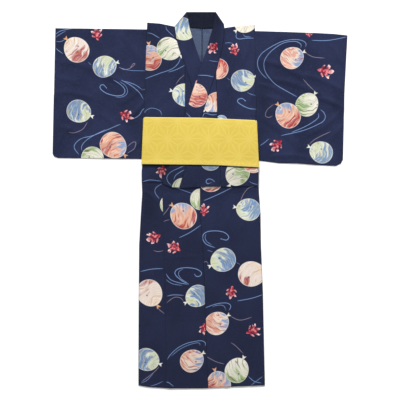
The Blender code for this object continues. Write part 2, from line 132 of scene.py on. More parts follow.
# Front edges and seams: (y, x)
LEFT_COLLAR_EDGE = ((714.2, 58.3), (652, 49), (614, 36.5), (568, 24.7), (517, 6.1),
                    (485, -4.6), (399, -33.4), (350, -47.9), (315, -58.9), (274, -71.4),
                    (198, -96.1), (133, -117), (61, -140.6))
LEFT_COLLAR_SEAM = ((714.2, 59.2), (668, 90.8), (652, 92.7), (614, 90.4), (568, 82.5),
                    (517, 68.8), (485, 60.8), (399, 32.3), (350, 16.7), (315, 6),
                    (274, -6.8), (198, -30.8), (133, -51.3), (85, -67.3), (48, -77.9))
LEFT_OKUMI_SEAM = ((485, 60.8), (399, 63.8), (315, 66.1), (198, 72.2), (133, 76), (48, 79.8))
LEFT_SKIRT_EDGE = ((TUCK_TOP, -110.2), (48, -145.2), (0, -142.5), (-152, -136.8),
                   (-342, -133), (-704, -127.3))
LEFT_SKIRT_SEAM = ((TUCK_TOP, 39.9), (48, 0.4), (-46, 0.4), (-152, 10.3), (-342, 17.5),
                   (-704, 30.5))
RIGHT_COLLAR_EDGE = ((714.2, -49.2), (652, -39.1), (614, -27.4), (568, -12.9), (517, 6.1),
                     (485, 16.7), (399, 45.6), (350, 60), (315, 71.1), (274, 83.6),
                     (198, 108.3), (133, 129.2), (66, 150.9))
RIGHT_COLLAR_SEAM = ((714.2, -50), (683, -77.1), (658, -96.3), (614, -89.7), (568, -77.1),
                     (517, -57.4), (485, -48.6), (399, -20.1), (350, -4.6), (315, 4.6),
                     (274, 19), (198, 42.9), (133, 63.5), (66, 84.7))
RIGHT_OKUMI_SEAM = ((517, -57.4), (510, -56.2), (315, -56.2), (66, -53.2))
RIGHT_SKIRT_EDGE = ((TUCK_TOP, 121.6), (66, 159.6), (-704, 167))
RIGHT_SKIRT_SEAM = ((TUCK_TOP, -22.8), (66, 7.6), (-704, 15))
NECKLINE = ((-96.5, 1.7), (-66, 3.6), (-34, 6), (8.4, 10), (51, 6), (72, 3.6), (93, 1.7))

# Rows of the panels, by their y or by their offset from a line
SKIRT_ROWS = (-50, -171, -342, -530)
BACK_ROWS = (399, 517, 600)
UNDER_BELT_ROW = 198      # a row of the back, half way up the belt
UNDER_BELT_EDGE = -3      # below the belt, the last row that its back wall lifts
CLEAR_OF_BELT = -28       # the next row, where the cloth has come down again
# Where the layers in the tuck come down to the skirt: (y, share of the way)
DROP = ((58, 0), (43, 0.5), (28, 1))
# Where the back comes down above the belt: (offset, share of the belt's step left)
BELT_DESCENT = ((2, 1), (10, 0.7), (28, 0))
BACK_EDGE_FOOT = 126      # above this the back has side edges of its own
# Rows under the shoulder where the back's side edge steps in at the sleeve
RIGHT_STEP_IN = (-26, -22.4, -20, -14)
LEFT_STEP_IN = (-26, -21.4, -19, -14)
FRONT_START = (-10, -26)  # first rows of a front, below the shoulder
SHOULDER_POINT = 2        # the point of a collar's seam nearest the shoulder line
OKUMI_START = 8           # how far an overlap strip begins below its seam's top
PLEAT = 334               # where a small crease parts the print of its chest
TUCK_FOLD_RIGHT = 66      # where the seams turn at the lower fold of each tuck
TUCK_FOLD_LEFT = 50

# Heights of the fronts from the shoulder down to the tuck: (y, height)
LEFT_LEVELS = ((614, THIRD_LAYER), (568, 4.3), (517, LEFT_CHEST), (485, LEFT_CHEST),
               (399, LEFT_CHEST), (350, LEFT_CHEST), (315, 6.3), (274, 10.0),
               (198, 13.75))
RIGHT_LEVELS = ((614, THIRD_LAYER), (568, THIRD_LAYER), (517, THIRD_LAYER),
                (485, THIRD_LAYER), (399, THIRD_LAYER), (350, THIRD_LAYER), (315, 4.2),
                (274, 6.9), (198, 9.1))

# Collar bands: (y, height) round the neck, then (offset, how far down) at the foot
COLLAR_NECK = ((714, 2.8), (700, 2.8), (683, 2.8), (668, 3.0),
               (655, THIRD_LAYER + COLLAR_LIFT))
COLLAR_FOOT = ((3, 0), (1, 0.25))

# Sleeves: edges as (y, x) down the sides and (x, y) along the top and bottom
SLEEVE_RIGHT = {
    "outer": ((651.7, -549.1), (176, -559), (165.7, -554), (160.4, -539.6)),
    "inner": ((647, -193), (524, -200.3), (322, -205.7), (317, -212.4), (308, -215.9),
              (157, -222.2)),
    "top": ((-549, 651.7), (-201, 647.1)),
    "bottom": ((-539.6, 160.4), (-222, 156.6)),
    "rows": (0, 0.25, 0.514, 0.649, 0.671, 0.85, 0.968, 0.989, 1),
}
SLEEVE_LEFT = {
    "outer": ((624.3, 559.7), (399, 547.6), (154.3, 541.9), (138.7, 534.3), (130, 516)),
    "inner": ((641, 201), (494, 203.7), (328, 207.2), (314, 208.6), (306, 213.5), (297, 216.9),
              (150, 223.7)),
    "top": ((201, 641.5), (291, 638.8), (436, 633.8), (509, 630), (559.7, 624.3)),
    "bottom": ((223.7, 150.3), (300, 140.6), (373, 139.5), (438.5, 133.8), (516, 130)),
    "rows": (0, 0.25, 0.456, 0.637, 0.660, 0.80, 0.951, 0.982, 1),
}
MOUTH_ROW = 2             # the mark of "rows" at which the hand opening ends

# The belt: (line, offset, height of the front run's middle)
BELT_ROWS = (
    ("belt_top", 0, 8.5), ("belt_top", -14, 10.2), ("level", 274, 12.3),
    ("level", 240, 14.4), ("level", 198, 16.0), ("level", 165, 16.2),
    ("belt_bottom", 12, 16.1), ("belt_bottom", 0, 15.9),
)
BELT_EDGE_LEFT_OF_VIEW = ((316.2, -214.7), (135.7, -221.9))
BELT_EDGE_RIGHT_OF_VIEW = ((304.4, 215.8), (123.5, 223.8))
BELT_EDGE_X = 218         # about where both edges are
BELT_CORNER = 2.25        # radius of its bends at the sides
BELT_FOOT = (120, 136)    # y over which creases die out at its lower edge
BELT_HEAD = (312, 326)    # and over which they begin again at its upper edge
BELT_REACH = 226          # half the width that it covers
STAND_TOP = ((-95.6, 660), (-77, 683), (-49.4, 714.2), (58.4, 714.2), (90, 668), (92, 656))

# The print, the creases and the soft shade are placed by pixels of the
# photograph, counted from its top left and read off it
PHOTO_PIXEL = 3.8         # millimetres of cloth that one pixel covers
PHOTO_CENTRE = 200


def on_cloth(x, y):
    """A photo pixel as millimetres in the tables' frame."""
    return np.array([(x - PHOTO_CENTRE) * PHOTO_PIXEL, (PHOTO_CENTRE - y) * PHOTO_PIXEL])


def table(pairs, value):
    """Read a two-column table at a value, whichever way its first column runs."""
    columns = np.array(sorted(pairs), dtype=float)
    return np.interp(value, columns[:, 0], columns[:, 1])


def line_y(line, x, offset):
    """y of a line across the garment at x, moved up by an offset."""
    return table(LINES[line], x) + offset


# Balloon colours: name -> main, second, third, fine lines and knot, in sRGB 0 to 255
BALLOON_COLOURS = {
    "rose": ((216, 203, 194), (151, 40, 54), (220, 198, 176), (185, 144, 104), (205, 151, 101)),
    "sky": ((203, 209, 200), (85, 119, 162), (187, 194, 160), (166, 158, 104), (212, 214, 211)),
    "leaf": ((207, 207, 187), (135, 160, 104), (220, 216, 205), (83, 79, 49), (214, 212, 203)),
    "peach": ((211, 158, 131), (158, 40, 49), (119, 148, 187), (220, 203, 185), (207, 155, 122)),
    "mixed": ((205, 209, 194), (94, 131, 175), (189, 194, 162), (144, 142, 97), (212, 214, 211)),
    "sunset": ((216, 200, 185), (203, 144, 124), (112, 137, 180), (158, 63, 65), (212, 203, 193)),
    "petal": ((214, 162, 140), (167, 43, 50), (221, 196, 182), (135, 36, 49), (209, 157, 157)),
    "mauve": ((211, 204, 191), (171, 155, 180), (220, 214, 196), (155, 146, 128), (212, 209, 202)),
}
PALETTE = list(BALLOON_COLOURS)
# How much of a balloon its second colour takes, from less (below 0.5) to more
SECOND_SHARE = {"rose": 0.34, "sky": 0.82, "leaf": 0.42, "peach": 0.55, "mixed": 0.62,
                "sunset": 0.60, "petal": 0.54, "mauve": 0.40}

# Balloons of each piece, in photo pixels: (x, y, radius, knot x, knot y, colours,
# 1 if it lies on another). With a knot x of None the knot lies out of sight, in
# the direction of knot y degrees.
BALLOONS = {
    "sleeve_right": (
        (76.5, 49.7, 13.5, 65.5, 38, "rose", 0), (104.8, 66.6, 12, 118, 62.4, "sky", 0),
        (79, 111.4, 12.5, 92.6, 116.6, "sky", 0), (113.5, 145.4, 14, 124.5, 155, "peach", 1),
        (92.5, 159, 12.5, None, 270, "leaf", 0),
    ),
    "body_right": (
        (150, 58, 13, None, 95, "peach", 0), (169, 49.1, 12.5, None, 330, "leaf", 1),
        (184.6, 94.9, 12.6, 169.8, 90.4, "mixed", 0),
    ),
    "body_right_skirt": (
        (149.7, 293, 14, 157, 304.6, "rose", 0), (147.2, 359.5, 12.5, 160, 364, "sky", 0),
        (171, 204.5, 11.2, None, 0, "leaf", 0),
    ),
    "collar_right": ((183, 29.3, 12.5, 193.5, 36, "mixed", 0),),
    "collar_left": (
        (196.5, 95.5, 12, 195.5, 82, "petal", 0), (184, 189, 12.2, None, 0, "leaf", 0),
    ),
    "okumi_left": (
        (216, 104, 12.5, 203.6, 111, "sunset", 0), (210.5, 159.3, 11.6, None, 90, "sky", 0),
    ),
    "okumi_left_skirt": (
        (183.3, 215.7, 14, 171.6, 204.8, "peach", 1), (202, 199.3, 12, None, 0, "leaf", 0),
        (197, 296, 12, 185, 303, "sky", 0), (192, 360.5, 12.3, 204, 352.4, "sunset", 0),
    ),
    "body_left": (
        (217, 69, 11.5, None, 180, "petal", 0), (242.7, 80.6, 12, 254, 76.9, "sky", 0),
        (245.5, 22, 12, 235.5, 31.3, "mauve", 0),
        (237.2, 173.4, 13.1, 229.5, 185.6, "leaf", 0), (253, 161.2, 12, None, 90, "sunset", 1),
        (221.3, 121.6, 6.5, None, 250, "mixed", 0),
    ),
    "body_left_skirt": (
        (210.7, 178.2, 13.9, None, 90, "rose", 0), (248.2, 209.5, 12.3, 235.6, 207.2, "mixed", 0),
        (223, 260, 13, 210, 266, "sky", 0), (251.8, 273.8, 14, None, 0, "rose", 0),
        (217, 323, 12.5, 228.4, 315, "sunset", 0), (236.9, 370, 13, 244, 356.4, "leaf", 1),
        (218.6, 384, 13.4, None, 105, "peach", 0),
    ),
    "sleeve_left": (
        (292, 58, 12, 303.4, 52.3, "sunset", 0), (307, 104.6, 12.3, 315.2, 93, "leaf", 0),
        (287.8, 115.4, 13.5, 276.6, 103.4, "peach", 0), (321, 152.2, 12, 308.8, 146.8, "mixed", 0),
    ),
}

# Goldfish of each piece, in photo pixels: (x, y, length, heading in degrees, 0 to
# the right)
FISH = {
    "sleeve_right": ((97, 34.7, 15, 280), (125.6, 115.4, 16, 155)),
    "body_right": ((162.2, 170.4, 14, 75),),
    "body_right_skirt": ((154.3, 237.3, 17, 20),),
    "collar_left": ((213.4, 47.4, 14, 50),),
    "okumi_left_skirt": ((174.7, 247.6, 17, 335), (204, 328, 13, 90)),
    "body_left": ((234.4, 50.4, 14, 290),),
    "body_left_skirt": ((203.8, 210.6, 14, 270), (231.4, 291.7, 15, 80), (252.7, 330.6, 17, 200)),
    "sleeve_left": ((309, 33.5, 10, 270), (324.4, 71.2, 18, 170), (277, 144.8, 16, 45)),
}

# Running water, in photo pixels: each line is points (x, y) read off the line in
# the photograph, then "thin", "line" or "curl"
ARC_OUTER = ((184, 166), (172.3, 171.3), (167.3, 176.3), (167.8, 181.3), (171.5, 185.8))
ARC_INNER = ((185, 169.5), (176.5, 174.7), (173.6, 180))
WATER = {
    "sleeve_right": (
        (((113.6, 80.1), (118.9, 83.4), (123.7, 87.7), (125, 91.6), (122.7, 94.9), (117, 95.9),
          (109.3, 94.4), (103.6, 91.6), (100.2, 88.2), (100.9, 85.3), (103.8, 85.1), (106.5, 88)),
         "curl"),
        (((119.5, 81.6), (125.6, 86), (127.6, 91), (126, 95), (121, 97.2), (115, 96.9)), "thin"),
        (((120.8, 80), (127, 83.2), (134.2, 88), (140, 93.5), (143.5, 99.5)), "line"),
        (((124, 81), (135, 84.8), (142.5, 90)), "line"),
        (((119, 67.6), (130, 70.4), (146, 71)), "thin"),
        (((121, 124), (107.4, 129.8), (93, 135.6), (81.6, 138.6), (75.8, 143.2), (74.4, 148),
          (79.2, 155)), "line"),
        (((106, 129.5), (92, 136.5), (84.4, 142.3), (81.6, 147), (82, 151)), "line"),
        (((132.3, 119.5), (139, 115.5), (143.3, 109.3), (149.5, 107.5)), "line"),
        (((55, 35), (61, 31), (74, 28.2)), "line"),
        (((55, 38), (60, 34.5), (66, 31)), "thin"),
        (((55.5, 41.5), (61, 41.7), (66, 39)), "thin"),
        (((55, 47.5), (59, 51), (63.5, 54)), "line"),
        (((88, 62), (91.6, 65.6)), "thin"),
    ),
    "body_right": (
        (((180.8, 56.5), (178.5, 63), (172, 69), (160, 73.4), (145, 79)), "line"),
        (((185.2, 65), (177, 69.5), (168, 72.4)), "line"),
        (((166, 26), (167, 30), (174, 37)), "thin"),
        (((147.3, 33), (152, 34), (160, 38.6)), "line"),
        (((142, 116), (147, 110), (153, 108.3), (160, 111), (162, 116)), "thin"),
        (((142.5, 182), (150, 180), (161.5, 181.2)), "line"),
    ),
    "body_right_skirt": (
        (((162, 183.5), (155.8, 188), (155.3, 193), (159.5, 199)), "line"),
        (((140.3, 271.5), (152, 269), (163, 268.5)), "line"),
        (((141, 383), (147, 380), (153.6, 373)), "thin"),
        (((150, 386), (157, 384), (163, 381)), "thin"),
    ),
    "collar_left": (
        (((197.9, 75.5), (206, 75.7), (214, 77.2)), "line"),
        (((208.3, 60.6), (213, 61.5), (218, 62)), "thin"),
        (ARC_OUTER, "line"),
        (ARC_INNER, "line"),
        (((186, 113), (190, 117), (192, 123)), "thin"),
    ),
    "okumi_left": (
        (ARC_OUTER, "line"),
        (ARC_INNER, "line"),
        (((211, 182.5), (207.5, 183.8), (206, 181), (208.5, 179), (212, 179.7), (214.5, 181.8)),
         "curl"),
    ),
    "okumi_left_fold": (
        (((202.5, 119), (204, 114), (209, 113)), "thin"),
        (((206, 113.5), (212, 115), (217, 114.6)), "line"),
    ),
    "okumi_left_skirt": (
        (((171, 185.5), (179, 188.7), (190.6, 193), (200, 196)), "thin"),
        (((178.6, 238), (190, 232.4), (201, 225)), "line"),
        (((189.3, 284), (183.2, 281.4), (177, 276.6), (174.9, 272.6), (177.8, 269), (186, 267.6),
          (195.4, 268.7), (201, 271.9), (200.8, 275.3), (196.8, 276.4), (194.1, 273.5)), "curl"),
        (((188, 282.8), (182.5, 279.8), (179, 275.6), (179, 271.6), (183.5, 268.6)), "thin"),
        (((165.7, 273.2), (170.4, 279.3), (179.2, 282.7), (189, 284.4)), "line"),
        (((165.7, 279.3), (172.4, 283.6), (182.5, 285.4)), "thin"),
        (((166.4, 296.2), (173.8, 294.7), (184, 295.3)), "line"),
        (((204.9, 346.4), (205.4, 342.8), (201.5, 340.6), (194.1, 341.3), (185.9, 343.5),
          (177.8, 347.8), (170.8, 354), (167, 359.7)), "line"),
        (((199.5, 346), (200, 343.5), (196.5, 342.6), (188, 345), (179, 349.6), (171.6, 355.6)),
         "thin"),
        (((163, 383), (168, 382), (174, 386.5)), "line"),
    ),
    "body_left": (
        (((224.2, 43.6), (228, 42.9), (232.5, 43.4)), "thin"),
        (((237, 32.5), (236, 37), (239, 39.2), (246, 38.4), (254, 38.4)), "line"),
        (((243, 34), (245, 36.6), (251, 37)), "thin"),
        (((256, 109.4), (249, 108.6), (243, 106), (237.8, 102.4), (238.2, 99.6), (242, 98.7),
          (245, 100.8)), "curl"),
        (((247, 92.5), (251, 94.5), (255.5, 95.7)), "thin"),
        (((227, 78), (230.5, 81)), "thin"),
        (((249, 181.5), (253, 183.5), (258, 184.7)), "thin"),
    ),
    "body_left_skirt": (
        (((203.5, 200.8), (218, 194.5), (232, 187.5)), "line"),
        (((215, 247.6), (206.4, 244.2), (202.8, 238.8), (203.7, 234), (208.9, 231.3), (217, 230.9),
          (224.5, 232.5), (228.7, 236.8), (226.5, 240), (221, 238.8)), "curl"),
        (((212, 244.8), (207, 241.6), (205, 237.2), (206.8, 233.4)), "thin"),
        (((236.5, 301), (250, 298.5), (263, 294.6)), "line"),
        (((204.6, 308), (213, 304.8), (221.1, 302.9), (227.8, 303.2), (230.8, 306.2),
          (228.5, 311)), "line"),
        (((212, 306.6), (219, 304.9), (224, 306), (225.8, 310)), "thin"),
        (((248, 376), (254, 381), (262, 383)), "line"),
        (((250, 386), (256, 381), (263, 376)), "thin"),
        (((236, 262), (240, 264.5)), "thin"),
        (((207, 250), (213, 252)), "thin"),
    ),
    "sleeve_left": (
        (((305.3, 47.6), (306, 44.2), (303.4, 41.3), (297.5, 39.8), (290, 40), (281.8, 41.7),
          (273.5, 45.6), (264.2, 51.4), (259.6, 56.4), (257.5, 61.9), (258.2, 68), (261.7, 73.9),
          (267, 79)), "line"),
        (((300.7, 48), (300.9, 44.6), (296.5, 41.9), (289, 41.8), (282.5, 43.5), (275.3, 47.8),
          (268.9, 53.6), (264.7, 60.1), (263.8, 65.6), (265.4, 72.1), (269.6, 78.6), (276.2, 85),
          (285.5, 90.6), (297, 97)), "line"),
        (((320.1, 109.5), (323.8, 112.7), (325.2, 117.3), (322.9, 121.5), (316.9, 124.9),
          (308.6, 128.6), (299.3, 131.6), (280.4, 135.8)), "line"),
        (((318.1, 112.6), (318.5, 116.9), (315, 120.6), (308.6, 124.7), (301.2, 128.4),
          (291, 132.6)), "line"),
        (((259.5, 146), (264, 143), (269.5, 138.4)), "line"),
        (((311.6, 40.5), (328, 40.5), (347, 37)), "line"),
    ),
}

# Balloon cords of each piece, read off the photograph in the same way
CORDS = {
    "sleeve_right": (
        ((119, 67), (124, 69.6), (130, 68.4), (135, 64.4), (133.5, 63.6), (130.8, 67)),
        ((88, 121.5), (83, 129), (75, 132.8), (68.9, 132.4)),
        ((127, 147), (133, 142.2), (136, 143), (134, 149), (127, 153.5)),
        ((141.5, 90.5), (144.8, 89.6), (145, 94.5)),
    ),
    "body_right": (((175.6, 84.8), (179, 80), (184.8, 74.4)),),
    "body_right_skirt": (
        ((156, 305.5), (160, 310), (165, 314)),
        ((153, 250.3), (158, 251.5), (164, 250.5)),
        ((159.5, 366), (154, 372), (141, 382)),
    ),
    "okumi_left_skirt": (
        ((170, 206), (166.5, 211), (162.4, 216)),
        ((163, 222), (166, 220.5), (170, 219.5)),
        ((184, 301.5), (180.5, 297.8), (175.1, 297), (170.4, 299.6), (166.4, 303)),
        ((206, 355.5), (208, 357)),
    ),
    "body_left_skirt": (
        ((240, 202), (243.5, 194), (248.5, 188), (254, 186.4)),
        ((203, 262.5), (206.5, 261.5), (208.5, 264)),
        ((230, 316), (240, 320), (252, 317)),
        ((206, 356), (216, 361.5), (225, 364)),
        ((243, 353), (236, 346), (230.5, 342)),
    ),
    "sleeve_left": (
        ((305.5, 53), (313, 57), (325, 58.3)),
        ((314, 91), (309, 86), (303, 79)),
        ((274, 104), (267, 110), (265.5, 116), (269, 117.5), (273, 115.5)),
        ((308.5, 145), (314, 140), (322, 135.5), (330.7, 131.6)),
    ),
}

# Soft creases seen from above: (x, y, x, y) of both ends in photo pixels, then
# width and height in millimetres, before CREASE_SCALE
CREASES = (
    (260, 60, 304, 79, 10, 2.4), (266, 78, 336, 104, 12, 2.8), (300, 74, 344, 92, 10, 2.2),
    (264, 96, 300, 112, 9, 1.8), (258, 84, 284, 94, 7, 1.6), (316, 98, 345, 110, 8, 2.0),
    (262, 118, 300, 150, 12, 2.0), (340, 112, 306, 136, 10, 1.9), (288, 36, 304, 62, 10, 1.5),
    (325, 150, 345, 124, 9, 1.6), (270, 157, 318, 160, 8, 1.4), (330, 44, 342, 66, 9, 1.5),
    (60, 62, 108, 76, 11, 2.0), (100, 74, 141, 96, 10, 2.2), (145, 100, 128, 118, 9, 3.0),
    (144, 86, 118, 104, 11, 1.8), (58, 92, 96, 100, 10, 1.8), (58, 78, 78, 84, 8, 1.4),
    (92, 34, 106, 60, 10, 1.4), (60, 126, 90, 142, 11, 1.9), (120, 34, 138, 60, 12, 1.7),
    (98, 112, 124, 138, 11, 1.7), (56, 146, 74, 124, 9, 1.4), (143, 138, 122, 156, 9, 2.0),
    (86, 150, 118, 141, 8, 1.4),
    (152, 30, 160, 66, 9, 0.9), (178, 70, 150, 112, 13, 1.3), (176, 112, 182, 84, 9, 1.0),
    (148, 96, 160, 114, 8, 1.0), (250, 36, 238, 70, 10, 1.0), (226, 84, 238, 114, 11, 1.3),
    (254, 90, 240, 114, 8, 1.1), (205, 112, 217, 111.5, 4, 1.0), (214, 60, 230, 74, 9, 0.9),
    (196, 108, 206, 92, 7, 0.8),
    (150, 168, 156, 181, 9, 1.4), (190, 168, 196, 186, 8, 1.2), (224, 170, 219, 184, 9, 1.3),
    (246, 170, 250, 184, 8, 1.2), (170, 170, 176, 184, 6, 0.9),
    (142, 190, 160, 204, 9, 2.2), (170, 194, 190, 230, 12, 1.4), (214, 192, 210, 240, 12, 1.4),
    (250, 192, 240, 232, 12, 1.5), (232, 196, 228, 222, 9, 1.0), (180, 192, 176, 214, 8, 1.0),
    (146, 226, 152, 300, 12, 1.3), (168, 250, 172, 330, 14, 1.1), (190, 300, 186, 384, 15, 1.2),
    (214, 262, 222, 350, 16, 1.2), (246, 250, 250, 330, 14, 1.2), (236, 330, 242, 386, 13, 1.2),
    (150, 330, 146, 384, 12, 1.2), (206, 338, 208, 386, 9, 1.0), (258, 345, 252, 385, 9, 1.1),
    (172, 344, 170, 386, 10, 1.0), (228, 372, 226, 388, 8, 1.2), (162, 262, 163, 292, 5, 0.7),
    (140, 262, 262, 266, 6, 0.5), (140, 324, 264, 328, 6, 0.5),
)
CREASE_SCALE = 2.0        # how much taller than the table all of them are made
CREASE_BOW = 0.06         # how far each is bowed, as a share of its length
CREASE_CORE = 0.32        # it is whole this far from its middle, as a share too
CREASE_END = 0.18         # and then dies out over this

# Soft shade where the cloth sinks in or turns from the light: (x, y, half width,
# half height) in photo pixels, then the share of the colour that it takes away
SHADES = (
    (263, 92, 8, 46, 0.30), (146, 80, 15, 34, 0.22), (172, 66, 14, 14, 0.16),
    (166, 172, 14, 13, 0.42), (178, 184, 20, 9, 0.22), (208, 174, 18, 10, 0.26),
    (238, 180, 18, 9, 0.20), (150, 200, 9, 22, 0.30), (216, 18, 9, 12, 0.55),
    (214, 40, 8, 14, 0.28), (184, 16, 6, 8, 0.35), (150, 34, 9, 8, 0.22),
    (198, 376, 60, 30, 0.12),
)


def soft_shade(points):
    """How much light the upper layers lose: each bell exp(-(a/w)^2 - (b/h)^2)
    takes its depth away from what the ones before it left."""
    left = np.ones(points.shape[:-1])
    for x, y, half_width, half_height, depth in SHADES:
        centre = on_cloth(x, y)
        across = (points[..., 0] - centre[0]) / (half_width * PHOTO_PIXEL)
        down = (points[..., 1] - centre[1]) / (half_height * PHOTO_PIXEL)
        left = left * (1 - depth * np.exp(-across ** 2 - down ** 2))
    return (1 - left) * raised(points)


def relief(x, y):
    """Height that the creases add at a place on the upper layers.

    Each crease is a ridge h*exp(-(d/w)^2) about its line, which is bowed a
    little, and is faded out at both ends by the same bell, so it has no
    corner anywhere. Two slow sine waves of up to half a millimetre lie
    under all of them.
    """
    total = np.zeros_like(x)
    for x0, y0, x1, y1, width, height in CREASES:
        start = on_cloth(x0, y0)
        along = on_cloth(x1, y1) - start
        length = np.hypot(*along)
        along = along / length
        s = (x - start[0]) * along[0] + (y - start[1]) * along[1]
        bend = CREASE_BOW * length * np.sin(math.pi * np.clip(s / length, 0, 1))
        d = (y - start[1]) * along[0] - (x - start[0]) * along[1] - bend
        off_middle = np.abs(s - length / 2)
        past = np.maximum(0, off_middle - length * CREASE_CORE) / (length * CREASE_END)
        total = total + height * np.exp(-(d / width) ** 2 - past ** 2)
    slow = 0.5 * np.sin(x / 61 + 1.3) * np.sin(y / 83 + 0.4) + 0.3 * np.sin((x + y) / 37)
    return CREASE_SCALE * total + slow + 0.8


def smooth(value, low, high):
    """0 below low and 1 above high, 3s^2 - 2s^3 between."""
    share = np.clip((value - low) / (high - low), 0, 1)
    return share * share * (3 - 2 * share)


def raised(points):
    """1 on the layers above the ground layer and 0 on it."""
    return smooth(points[..., 2], *RAISED)


def crease(points):
    """Lift the upper layers by the relief at their place, but not under the belt."""
    x, y = points[..., 0], points[..., 1]
    along_belt = smooth(y, *BELT_FOOT) * (1 - smooth(y, *BELT_HEAD))
    under_belt = along_belt * (np.abs(x) < BELT_REACH)
    points[..., 2] += relief(x, y) * raised(points) * (1 - under_belt)
    return points


def half_turn(line, edge, start, end, outward):
    """Rows of a half turn from one height to another, its tip on a line."""
    radius = abs(end - start) / 2
    rows = []
    for step in range(TURN_STEPS + 1):
        angle = math.pi * step / TURN_STEPS
        height = (start + end) / 2 + (start - end) / 2 * math.cos(angle)
        rows.append((line, edge + outward * radius * (math.sin(angle) - 1), height))
    return rows


def strip(rows, near, far, columns):
    """Points of a strip: a straight share from the near seam to the far seam
    on each row, x = near + t (far - near), with y read from the row's line.
    Where a seam meets a line is found by reading one from the other in turn."""
    share = np.linspace(0, 1, columns + 1)
    points = []
    for number, (line, offset, height) in enumerate(rows):
        ends = []
        for seam in (near, far):
            x = 0
            for _ in range(CROSSING_ROUNDS):
                x = seam(number, line_y(line, x, offset))
            ends.append(x)
        x = ends[0] + share * (ends[1] - ends[0])
        points.append(np.column_stack([x, line_y(line, x, offset), np.full_like(x, height)]))
    return np.array(points)


def refine(points, step, first_fine=0):
    """Add rows between the rows of a strip so that none are further apart
    than the step; rows before first_fine keep the hidden step. Returns the
    points and, for each row, its place among the rows it came from."""
    out = [points[:1]]
    origin = [0.0]
    for row in range(1, len(points)):
        last = out[-1][-1]
        span = np.linalg.norm(points[row] - last, axis=1).max()
        if span < SAME_ROW:
            continue
        size = step if row > first_fine else HIDDEN_STEP
        count = max(1, math.ceil(span / size))
        share = (np.arange(1, count + 1) / count)[:, None, None]
        out.append(last + share * (points[row] - last))
        origin.extend(row - 1 + share[:, 0, 0])
    return np.concatenate(out), np.array(origin)


def grid_faces(rows, columns, closed=False):
    """Quads of a grid of points; closed joins the last row to the first."""
    row, column = np.meshgrid(np.arange(rows if closed else rows - 1), np.arange(columns - 1),
                              indexing="ij")
    after = (row + 1) % rows
    quads = np.stack([row * columns + column, row * columns + column + 1,
                      after * columns + column + 1, after * columns + column], axis=-1)
    return quads.reshape(-1, 4)


def flow(points, per_span=10):
    """A smooth line through hand-placed points, as a Catmull-Rom spline."""
    held = np.array([on_cloth(*point) for point in points])
    padded = np.concatenate([[2 * held[0] - held[1]], held, [2 * held[-1] - held[-2]]])
    t = np.linspace(0, 1, per_span, endpoint=False)[:, None]
    out = []
    for a, b, c, d in zip(padded[:-3], padded[1:-2], padded[2:-1], padded[3:]):
        out.append(0.5 * (2 * b + (c - a) * t + (2 * a - 5 * b + 4 * c - d) * t ** 2
                          + (3 * b - a - 3 * c + d) * t ** 3))
    return np.concatenate(out + [held[-1:]])


def beside(path, where):
    """Signed distance of places to a line, how far along it they are, and
    the line's length. The nearest point of each straight step is its start
    plus a share of it, (rel . step) / |step|^2 kept from 0 to 1."""
    start = path[:-1]
    step = path[1:] - start
    size = np.linalg.norm(step, axis=1)
    run = np.concatenate([[0], np.cumsum(size)[:-1]])
    rel = where[:, None, :] - start[None]
    share = np.clip((rel * step).sum(-1) / size ** 2, 0, 1)
    off = rel - share[..., None] * step
    distance = np.linalg.norm(off, axis=-1)
    nearest = distance.argmin(1)
    pick = np.arange(len(where))
    ahead = step[nearest]
    there = rel[pick, nearest]
    side = np.sign(ahead[:, 0] * there[:, 1] - ahead[:, 1] * there[:, 0])
    walked = run[nearest] + share[pick, nearest] * size[nearest]
    return side * distance[pick, nearest], walked, size.sum()


FAR = 9.0                 # a local place that no motif reaches
STAMP_REACH = 1.7         # faces this near a motif carry it, in its own radius
STROKE_MARGIN = 8         # and this near a stroke, in millimetres
STROKE_TAPER = 14.0       # millimetres over which a stroke's end thins out
# Strokes by kind: (half width, radius of the dot at the last end) in millimetres
STROKES = {"thin": (0.65, 0), "line": (0.85, 0), "curl": (1.0, 1.5), "cord": (0.85, 0)}
DOT_LENGTH = 2.2          # millimetres of the stroke that the dot takes


def stamp(places, motifs):
    """Local coordinates of the motif that each face lies on.

    places is (faces, 4, 2) in millimetres and a motif is (centre, unit
    vector, radius, key). u runs along the vector and v across it, both over
    the radius, so they are straight functions of the place in each face.
    """
    out = np.full(places.shape[:2] + (3,), FAR)
    best = np.full(len(places), np.inf)
    middle = places.mean(1)
    for centre, heading, radius, key in motifs:
        away = np.linalg.norm(middle - centre, axis=1) / radius
        mine = (away < STAMP_REACH) & (away < best)
        if not mine.any():
            continue
        best[mine] = away[mine]
        rel = (places[mine] - centre) / radius
        u = rel @ heading
        v = rel @ np.array([-heading[1], heading[0]])
        out[mine] = np.stack([u, v, np.full_like(u, key)], axis=-1)
    return out


